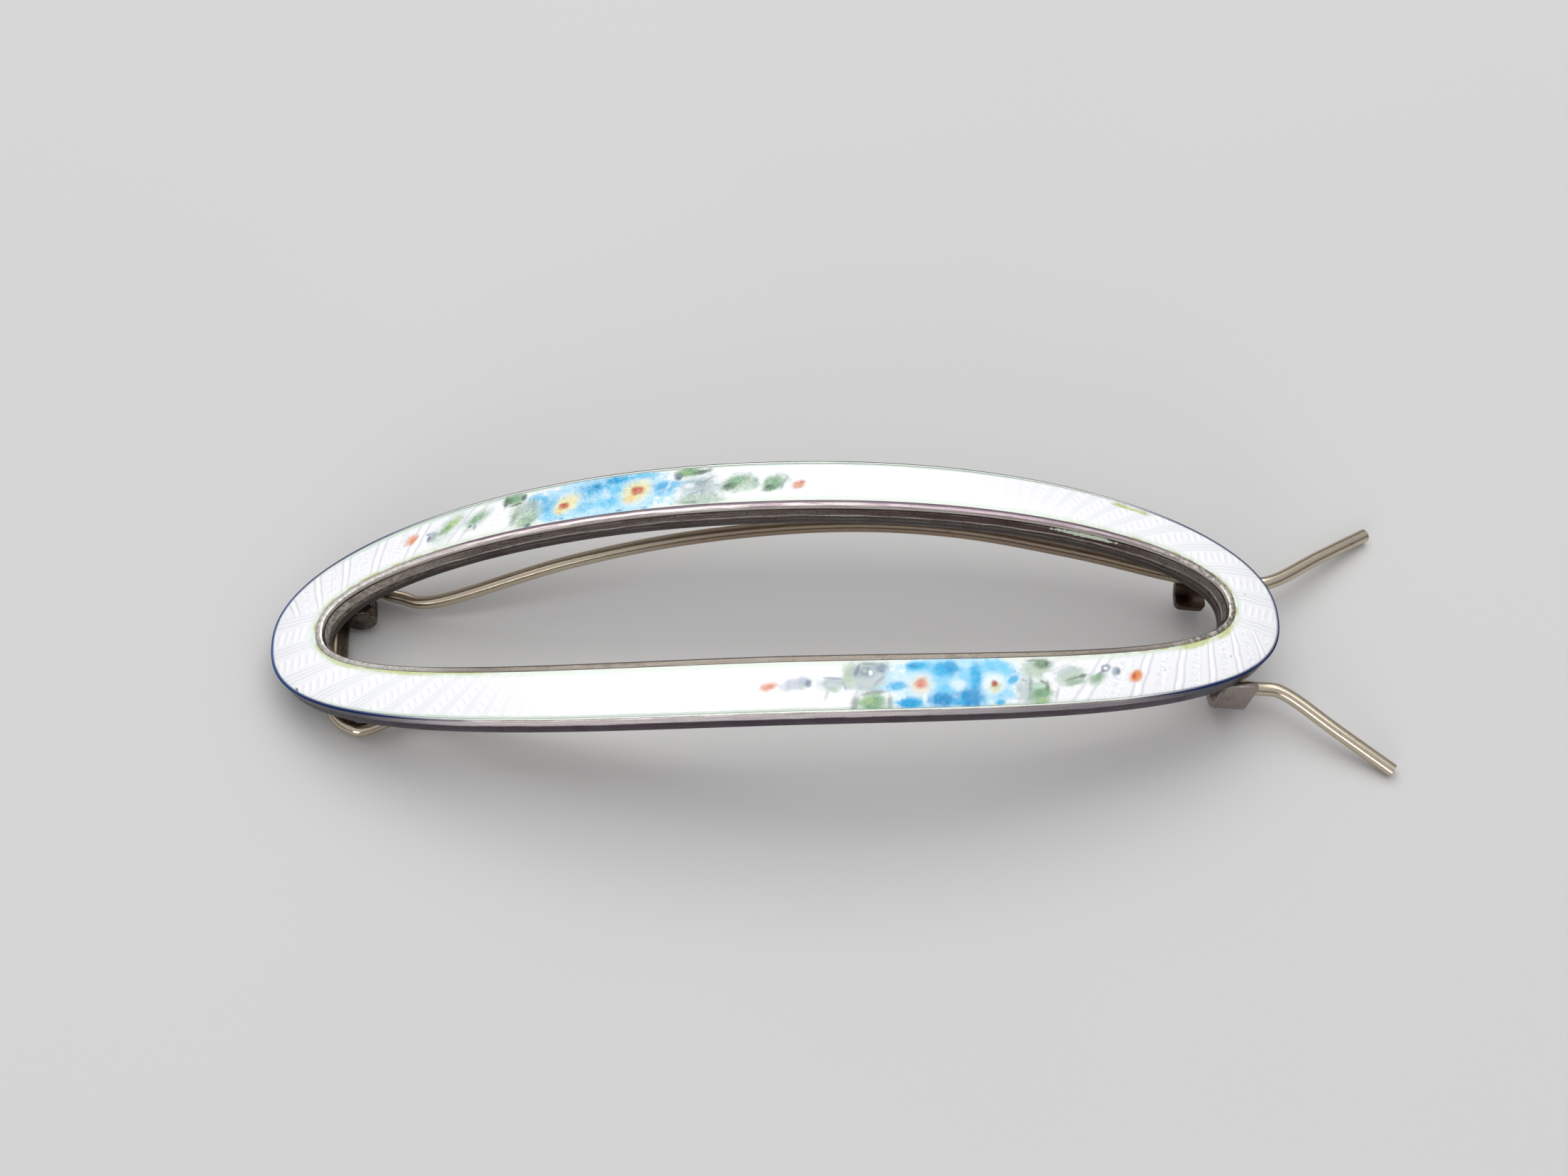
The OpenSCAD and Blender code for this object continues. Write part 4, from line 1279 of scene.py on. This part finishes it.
@dataclass
class SilverRing:
    """The ring: outer wall with its thin edge, enamel tray, inner lip and inner wall."""

    oval: OvalArch
    tray: float = 0.4
    lip: float = 0.46

    def section(self) -> Section:
        """Rows of the section from the outer foot up, over the face and down inside.

        Returns:
            Inset and height of each row, in mm.
        """
        foot, top, edge, face = -self.oval.wall, self.oval.crown, self.oval.edge, self.oval.face
        full = face + self.lip
        return [
            (0.30, foot), (0.16, foot + 0.045), (0.05, foot + 0.14), (0.0, foot + 0.30),
            (0.0, -0.7), (0.0, -0.1), (0.024, -0.045), (0.065, -0.006), (edge - 0.02, 0.004),
            (edge, -0.01), (edge, -self.tray), (face, top - self.tray),
            (face, top - 0.01), (face + 0.03, top + 0.006), (full - 0.14, top + 0.002),
            (full - 0.06, top - 0.02), (full - 0.015, top - 0.06), (full, top - 0.12),
            (full, top - 0.25), (full - 0.02, top - 0.31), (full - 0.065, top - 0.34),
            (full - 0.02, top - 0.37), (full, top - 0.43), (full, -0.55), (full, foot + 0.30),
            (full - 0.05, foot + 0.14), (full - 0.16, foot + 0.045), (full - 0.30, foot),
        ]

    def build(self, effects: SharedEffects) -> list[Piece]:
        """Builds and dresses the ring.

        Args:
            effects: The shared node groups.

        Returns:
            The piece.
        """
        rows = self.section()
        piece = self.oval.sweep("silver_ring", rows)
        Bench.lay_down(piece, 40.0)
        at, around = row_places(rows)
        zones = {
            "outer_low": (at[0] - 0.5, at[4] + 0.1), "outer_high": (at[4] + 0.1, at[6]),
            "corner": (at[5], at[7] + 0.03), "shoulder": (at[5], at[7] + 0.13),
            "rim": (at[7] + 0.04, at[9]), "seat": (at[12] - 0.05, at[13] + 0.15),
            "lip": (at[12], at[16]), "lip_edge": (at[16], at[18]), "groove": (at[18], at[22]),
            "inner_high": (at[22], at[23] - 0.05), "inner_mid": (at[23] + 0.08, at[23] + 0.4),
            "inner_low": (at[23] + 0.4, at[27]),
        }
        finish = RingSilverFinish(zones, around, self.oval.way)
        piece.data.materials.append(finish.make(effects))
        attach(piece, "frame_body")
        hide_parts("slide_frame")
        return [piece]


@dataclass
class EnamelFace:
    """The enamel band in its tray, with a soft swell between its two edges."""

    oval: OvalArch
    thick: float = 0.4
    swell: float = 0.09
    gap: float = 0.014
    ease: float = 0.012
    shoulder: float = 0.06
    margin: float = 0.015
    rows: int = 18
    sprays: tuple[Spray, Spray] = (
        Spray("front", middle=0.25, crackled=0.08, dabs=FRONT_SPRAY + FRONT_WEAR),
        Spray("back", middle=0.75, crackled=0.32, dabs=BACK_SPRAY + BACK_WEAR))

    def height(self, inset: float) -> float:
        """Height of the face over the arch at an inset."""
        share = (inset - self.oval.edge) / (self.oval.face - self.oval.edge)
        return self.oval.crown * share + 4 * self.swell * share * (1 - share)

    def section(self) -> Section:
        """Rows of the section: three up its outer side, those of the face, three down."""
        low, top, ease = self.thick - self.gap, self.oval.crown, self.ease
        start, end = self.oval.edge + self.gap, self.oval.face - self.gap
        span = 1 - 2 * self.margin
        shares = [self.margin + span * i / (self.rows - 1) for i in range(self.rows)]
        insets = [start + (end - start) * share for share in shares]
        return [(start, -low), (start, -self.shoulder), (start + ease, -ease),
                *((inset, self.height(inset)) for inset in insets),
                (end - ease, top - ease), (end, top - self.shoulder), (end, top - low)]

    def build(self, effects: SharedEffects) -> list[Piece]:
        """Builds and dresses the enamel.

        Args:
            effects: The shared node groups.

        Returns:
            The piece.
        """
        rows = self.section()
        piece = self.oval.sweep("enamel_face", rows)
        Bench.lay_down(piece, 50.0)
        at, around = row_places(rows)
        finish = EnamelFinish(at[3], at[2 + self.rows], around, self.oval.way)
        for spray in self.sprays:
            piece.data.materials.append(finish.make(effects, spray))
        for polygon in piece.data.polygons:
            polygon.material_index = int(polygon.center.y > 0.0)
        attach(piece, "frame_body")
        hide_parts("enamel_band")
        return [piece]


@dataclass
class WirePin:
    """The sprung pin: one wire from flared end to flared end, through the hinge barrel."""

    oval: OvalArch
    radius: float = 0.475
    slack: float = 0.014
    corner: float = 2.1
    crossbar: float = 6.6
    lead_in: float = 0.3
    dip: float = 0.1
    stagger: float = 0.75
    flare: tuple[float, float] = (0.9, 1.2)
    cut: float = 0.03
    hinge_along: float = 0.881
    hinge_drop: float = 3.0
    route: list[Place] = field(default_factory=lambda: [
        (-0.756, 0.487, 4.35), (-0.671, 0.425, 4.65), (-0.412, 0.574, 4.25),
        (-0.152, 0.691, 4.15), (0.122, 0.744, 4.05), (0.366, 0.709, 3.95),
        (0.610, 0.582, 3.75), (0.823, 0.436, 3.20), (0.951, 0.429, 2.75),
        (1.012, 0.462, 2.40), (1.113, 0.706, 2.05), (1.224, 0.966, 1.60)])

    @property
    def hinge(self) -> tuple[float, float]:
        """The crossbar's distance along the slide and its height, level."""
        x = -self.oval.length / 2 * self.hinge_along
        return x, self.oval.height(x) - self.hinge_drop

    def leg(self, side: int, per: int = 9) -> np.ndarray:
        """Centre line of one leg.

        Args:
            side: 1 for the back leg, -1 for the front one.
            per: Points between two knots of the route.

        Returns:
            The points from the crossbar to the flared end, level, in mm.
        """
        x0, z0 = self.hinge
        half_len, half_w = self.oval.length / 2, self.oval.width / 2
        knots = []
        for degrees in (180.0, 157.5, 135.0, 112.5, 90.0):
            turn = math.radians(degrees)
            knots.append((x0 + self.corner * (1 + math.cos(turn)),
                          side * (self.crossbar / 2 + self.corner * math.sin(turn)),
                          z0 - self.dip * (180 - degrees) / 90))
        for along, out, drop in self.route:
            x = half_len * along
            lead = side * self.stagger / 2 * float(np.interp(along, self.flare, (0.0, 1.0)))
            knots.append((x + lead, side * half_w * out, self.oval.height(x) - drop))
        pts = np.array(knots)
        last = len(pts) - 1
        made = [np.array([x0, side * (self.crossbar / 2 - self.lead_in), z0])]
        for i in range(last):
            a, b, c, d = pts[max(i - 1, 0)], pts[i], pts[i + 1], pts[min(i + 2, last)]
            for k in range(per):
                t = k / per
                made.append(0.5 * (2 * b + (c - a) * t + (2 * a - 5 * b + 4 * c - d) * t * t
                                   + (3 * b - a - 3 * c + d) * t ** 3))
        tip = pts[last] - made[-1]
        made.append(pts[last] - self.cut * tip / np.linalg.norm(tip))
        return np.array(made)

    def leg_at(self, x: float, side: int) -> Vector:
        """Place of a leg's centre line at a distance along the slide."""
        ahead = [p for p in self.leg(side) if p[0] > self.hinge[0] + 0.01]
        table = np.array(sorted(ahead, key=lambda p: p[0]))
        y, z = (float(np.interp(x, table[:, 0], table[:, i])) for i in (1, 2))
        return Vector((x, y, z))

    def build(self, effects: SharedEffects) -> list[Piece]:
        """Draws the wire as a path with a round bevel, and rounds its cut ends.

        Args:
            effects: The shared node groups.

        Returns:
            The piece.
        """
        line = np.concatenate([self.leg(-1)[::-1], self.leg(1)])
        Bench.clear()
        bpy.ops.curve.primitive_nurbs_path_add(radius=1.0)
        path = Bench.named("sprung_wire")
        path.data.splines.clear()
        spline = path.data.splines.new("POLY")
        spline.points.add(len(line) - 1)
        for spot, place in zip(spline.points, line):
            spot.co = (*place, 1.0)
        path.data.twist_mode = "MINIMUM"
        path.data.bevel_depth = self.radius - self.slack
        path.data.bevel_resolution = 8
        path.data.use_fill_caps = True
        path.location = (0.0, 0.0, 0.0)
        bpy.ops.object.convert(target="MESH")
        piece = bpy.context.active_object
        Bench.face_out(piece)
        Bench.ease(piece, Bench.at_cap, 0.13, 4, 0.6)
        Bench.lay_down(piece, 60.0)
        piece.data.materials.append(WireFinish().make(effects))
        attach(piece, "pin_body")
        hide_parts("wire_pin")
        return [piece]


@dataclass
class Hinge:
    """The barrel under the left end, its seat on the ring and the two lugs beside it."""

    wire: WirePin
    barrel_d: float = 1.8
    barrel_len: float = 6.0
    bore_r: float = 0.535
    lug_w: float = 1.45
    lug_r: float = 1.05
    lug_ahead: float = 1.7
    lug_above: float = 0.4
    lug_out: float = 0.1
    web_out: float = 0.35
    web_half: tuple[float, float] = (0.8, 0.47)
    seat_span: tuple[float, float] = (-0.6, 0.4)
    seat_above: float = 0.5
    seat_short: float = 0.2
    sink: float = 0.3
    lug_sink: float = 0.2

    def _barrel(self) -> Piece:
        """The drilled barrel: a cylinder with both ends inset and its middle taken out.

        Returns:
            The barrel, round the hinge's axis.
        """
        x, z = self.wire.hinge
        half = self.barrel_len / 2
        Bench.clear()
        bpy.ops.mesh.primitive_cylinder_add(vertices=64, radius=self.barrel_d / 2,
                                            depth=self.barrel_len, end_fill_type="NGON")
        piece = Bench.named("hinge_barrel")
        Bench.edit("FACE")
        Bench.pick(piece, "FACE", lambda face: abs(face.normal.z) > 0.9)
        bpy.ops.mesh.inset(thickness=self.barrel_d / 2 - self.bore_r)
        bpy.ops.mesh.delete(type="FACE")
        Bench.pick(piece, "EDGE", lambda edge: edge.is_boundary)
        bpy.ops.mesh.bridge_edge_loops()
        Bench.ease(piece, lambda edge: edge.calc_face_angle(0.0) > 1.0 and all(
            abs(abs(v.co.z) - half) < Bench.near for v in edge.verts), 0.07, 3)
        Bench.face_out(piece)
        piece.rotation_euler = (math.pi / 2, 0.0, 0.0)
        piece.location = (x, 0.0, z)
        Bench.place(piece)
        return piece

    def _block(self, low: Place, high: Place,
               bevel: float) -> Piece:
        """A block between two corners with its edges eased.

        Args:
            low: Its lowest corner, in mm.
            high: Its highest corner, in mm.
            bevel: The width of its eased edges, in mm.

        Returns:
            The block.
        """
        Bench.clear()
        bpy.ops.mesh.primitive_cube_add(size=1.0, location=[(a + b) / 2 for a, b in zip(low, high)],
                                        scale=[b - a for a, b in zip(low, high)])
        piece = Bench.named("block")
        Bench.place(piece)
        Bench.apply(piece, "BEVEL", width=bevel, segments=3)
        return piece

    def _lug(self, side: int) -> Piece:
        """One lug: a round back with eased rims, and its web up to the ring.

        Args:
            side: 1 for the back lug and -1 for the front one.

        Returns:
            The lug.
        """
        x, z = self.wire.hinge[0] + self.lug_ahead, self.wire.hinge[1] + self.lug_above
        y = side * (self.barrel_len / 2 + self.lug_out)
        Bench.clear()
        bpy.ops.mesh.primitive_cylinder_add(vertices=56, radius=self.lug_r, depth=self.lug_w,
                                            location=(x, y, z),
                                            rotation=(math.pi / 2, 0.0, 0.0))
        round_back = Bench.named("lug")
        Bench.place(round_back)
        Bench.ease(round_back, Bench.at_cap, 0.16, 4)
        (half_x, half_y), web_y = self.web_half, y + side * self.web_out
        top = self.wire.oval.solder(x, self.lug_sink)
        web = self._block((x - half_x, web_y - half_y, z), (x + half_x, web_y + half_y, top), 0.08)
        return Bench.join([round_back, web], "lug")

    def build(self, effects: SharedEffects) -> list[Piece]:
        """Builds and dresses the hinge.

        Args:
            effects: The shared node groups.

        Returns:
            The barrel with its seat, and the pair of lugs.
        """
        x, z = self.wire.hinge
        half = self.barrel_len / 2 - self.seat_short
        low, high = (x + off for off in self.seat_span)
        top = self.wire.oval.solder(x, self.sink)
        seat = self._block((low, -half, z + self.seat_above), (high, half, top), 0.06)
        barrel = Bench.join([self._barrel(), seat], "hinge_barrel")
        lugs = Bench.join([self._lug(1), self._lug(-1)], "hinge_lugs")
        # Painted shade: the barrel and lugs are dark because they sit in the ring's shade under its left
        # end.
        warm = SilverFinish("hinge_silver_painted_shade", bright=(108, 98, 82), brown=(70, 60, 50),
                            dark=(34, 30, 28), amount=0.4)
        dark = SilverFinish("lug_silver", bright=(104, 96, 84), brown=(58, 52, 46),
                            dark=(26, 23, 22), amount=0.5)
        for piece, finish in ((barrel, warm), (lugs, dark)):
            Bench.lay_down(piece, 35.0)
            piece.data.materials.append(finish.make(effects))
            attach(piece, "frame_body")
        return [barrel, lugs]


@dataclass
class Hook:
    """A catch of bent strip: a plate outside the wire, a curl and a tongue under it."""

    wire: WirePin
    name: str
    side: int
    along: float
    width: float = 2.1
    thick: float = 0.45
    curl: float = 1.0
    tongue: float = 0.7
    pitch: float = 12.0
    room: float = 0.15
    reach: float = 0.8
    sink: float = 0.25
    bright: Colour = (152, 142, 136)

    def _strip(self, top: float) -> Piece:
        """The strip: a small plane drawn down, spun through the curl and drawn inward.

        Args:
            top: The height of its soldered end over the leg's middle, in mm.

        Returns:
            The strip, still square at its end, with the leg's middle at the origin.
        """
        plate = self.wire.radius + self.room
        Bench.clear()
        bpy.ops.mesh.primitive_plane_add(
            size=1.0, location=(0.0, self.side * (plate + self.thick / 2), top))
        piece = Bench.named(self.name)
        piece.scale = (self.width, self.thick, 1.0)
        Bench.place(piece)
        Bench.edit("FACE")
        bpy.ops.mesh.select_all(action="SELECT")
        bpy.ops.mesh.extrude_region_move(
            TRANSFORM_OT_translate={"value": (0.0, 0.0, -self.reach - top)})
        bpy.ops.mesh.spin(steps=9, angle=math.pi / 2, axis=(self.side, 0.0, 0.0),
                          center=(0.0, self.side * (plate - self.curl), -self.reach))
        bpy.ops.mesh.extrude_region_move(
            TRANSFORM_OT_translate={"value": (0.0, -self.side * self.tongue, 0.0)})
        bpy.ops.object.mode_set(mode="OBJECT")
        Bench.face_out(piece)
        return piece

    def build(self, effects: SharedEffects) -> list[Piece]:
        """Builds and dresses the hook.

        Args:
            effects: The shared node groups.

        Returns:
            The piece.
        """
        x = self.wire.oval.length / 2 * self.along
        leg = self.wire.leg_at(x, self.side)
        piece = self._strip(self.wire.oval.solder(x, self.sink) - leg.z)
        end = min(v.co.y * self.side for v in piece.data.vertices)
        Bench.ease(piece, lambda edge: all(
            abs(v.co.y * self.side - end) < Bench.near for v in edge.verts)
            and abs(edge.verts[0].co.x - edge.verts[1].co.x) < Bench.near, 0.4, 6)
        Bench.apply(piece, "BEVEL", width=0.05, segments=3, limit_method="ANGLE",
                    angle_limit=math.radians(40))
        piece.rotation_euler = (0.0, math.radians(self.pitch), 0.0)
        piece.location = leg
        Bench.place(piece)
        Bench.lay_down(piece, 35.0)
        brown, dark = (tuple(int(v * share) for v in self.bright) for share in (0.85, 0.7))
        finish = SilverFinish(f"{self.name}_silver", self.bright, brown, dark, amount=0.2,
                              speckle=0.15)
        piece.data.materials.append(finish.make(effects))
        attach(piece, "frame_body")
        return [piece]


def rest(wire: WirePin, sag: float = 0.97) -> tuple[float, Vector]:
    """Works out how the level slide lies down on its barrel and the wire's two tips.

    Args:
        wire: The wire pin.
        sag: How far down a tip touches, as a share of the wire's radius.

    Returns:
        The lean in radians, and the shift in mm that brings the hinge to its joint.
    """
    x, z = wire.hinge
    tip, drop = wire.oval.length / 2 * wire.route[-1][0], wire.route[-1][2]
    touch = wire.oval.height(tip) - drop - sag * wire.radius
    lean = math.atan2(z - Hinge.barrel_d / 2 - touch, tip - x)
    joint = Vector(frame["joints"][0]["pos_m"]) / MM
    return lean, joint - Matrix.Rotation(-lean, 3, "Y") @ Vector((x, 0.0, z))


LEAN, SHIFT = rest(WirePin(OvalArch()))


# The studio

@dataclass
class Studio:
    """A plain pale floor, soft lights and the camera where the picture was taken from."""

    elevation: float = 58.0
    azimuth: float = -2.65
    roll: float = 0.63
    focal_px: float = 4040.0
    distance: float = 181.22
    offset: tuple[float, float] = (-0.415, 0.243)
    image_width: int = 2212
    sensor: float = 36.0

    def camera(self) -> None:
        """Places the camera by the level ring, then lays it down with the slide."""
        el, az, roll = (math.radians(v) for v in (self.elevation, self.azimuth, self.roll))
        back = Vector((math.sin(az) * math.cos(el), -math.cos(az) * math.cos(el), math.sin(el)))
        right = Vector((math.cos(az), math.sin(az), 0.0))
        up = back.cross(right)
        across = right * math.cos(roll) + up * math.sin(roll)
        upward = up * math.cos(roll) - right * math.sin(roll)
        eye = back * self.distance - across * self.offset[0] - upward * self.offset[1]
        lay = Matrix.Rotation(-LEAN, 3, "Y")
        turn = Matrix((lay @ across, lay @ upward, lay @ back)).transposed()
        place = (lay @ eye + SHIFT) * MM
        Bench.clear()
        bpy.ops.object.camera_add(location=place)
        seen = Bench.named("photo_camera")
        seen.matrix_world = Matrix.Translation(place) @ turn.to_4x4()
        seen.data.sensor_fit = "HORIZONTAL"
        seen.data.sensor_width = self.sensor
        seen.data.lens = self.focal_px * self.sensor / self.image_width
        seen.data.clip_start, seen.data.clip_end = 0.005, 20.0
        bpy.context.scene.camera = seen

    def floor(self) -> None:
        """Lays the pale floor at the slide's own resting height."""
        Bench.clear()
        bpy.ops.mesh.primitive_plane_add(size=4.0, location=(0.0, 0.0, 0.0))
        piece = Bench.named("pale_floor")
        work = Paintwork("pale_floor")
        tone = work.tree.noise(work.level_point(), 0.02, 2.0)
        colour = work.tree.mix(tone, linear(205, 204, 202), linear(200, 200, 199))
        work.set(Base_Color=colour, Roughness=0.9)
        piece.data.materials.append(work.material)

    def light(self, name: str, place: Place, size: tuple[float, float],
              watts: float, colour: Place = (1.0, 1.0, 1.0)) -> None:
        """Hangs one soft light that faces the slide.

        Args:
            name: The light's name.
            place: Where it hangs, in metres.
            size: Its width and height, in metres.
            watts: Its power.
            colour: Its colour.
        """
        Bench.clear()
        bpy.ops.object.light_add(type="AREA", location=place)
        lamp = Bench.named(name)
        lamp.data.shape = "RECTANGLE"
        lamp.data.size, lamp.data.size_y = size
        lamp.data.energy = watts
        lamp.data.color = colour
        lamp.rotation_euler = Vector(place).to_track_quat("Z", "Y").to_euler()

    def surroundings(self) -> None:
        """Paints the room: dim near the floor and lighter overhead."""
        world = bpy.data.worlds.new("studio")
        world.use_nodes = True
        tree = Tree(world.node_tree)
        sky = next(n for n in world.node_tree.nodes if n.type == "BACKGROUND")
        _, _, height = tree.split(tree.node("ShaderNodeTexCoord").outputs["Generated"])
        tree.feed(sky.inputs["Color"], tree.mix(
            tree.rise(height, 0.05, 0.7), linear(112, 106, 108), linear(212, 213, 216)))
        sky.inputs["Strength"].default_value = 1.0
        bpy.context.scene.world = world

    def build(self) -> None:
        """Sets the camera, floor, lights and surroundings."""
        self.camera()
        self.floor()
        self.light("key", (0.0, 0.2, 0.5), (0.6, 0.6), 2.05)
        self.light("front_fill", (-0.2, -0.48, 0.2), (0.3, 0.2), 0.6, (1.0, 0.97, 0.95))
        self.surroundings()
        bpy.context.scene.view_settings.view_transform = "Standard"


def main() -> None:
    """Builds the studio and every sub-assembly."""
    logging.basicConfig(level=logging.INFO, format="%(name)s: %(message)s")
    Studio().build()
    effects = SharedEffects()
    oval = OvalArch()
    wire = WirePin(oval)
    makers = [
        SilverRing(oval), EnamelFace(oval), wire, Hinge(wire),
        Hook(wire, "front_hook", side=-1, along=0.902),
        # Painted shade: the back hook's dark silver stands for the ring's shade over it.
        Hook(wire, "back_hook", side=1, along=0.858, bright=(92, 80, 72)),
    ]
    for maker in makers:
        for piece in maker.build(effects):
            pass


if __name__ == "__main__":
    main()
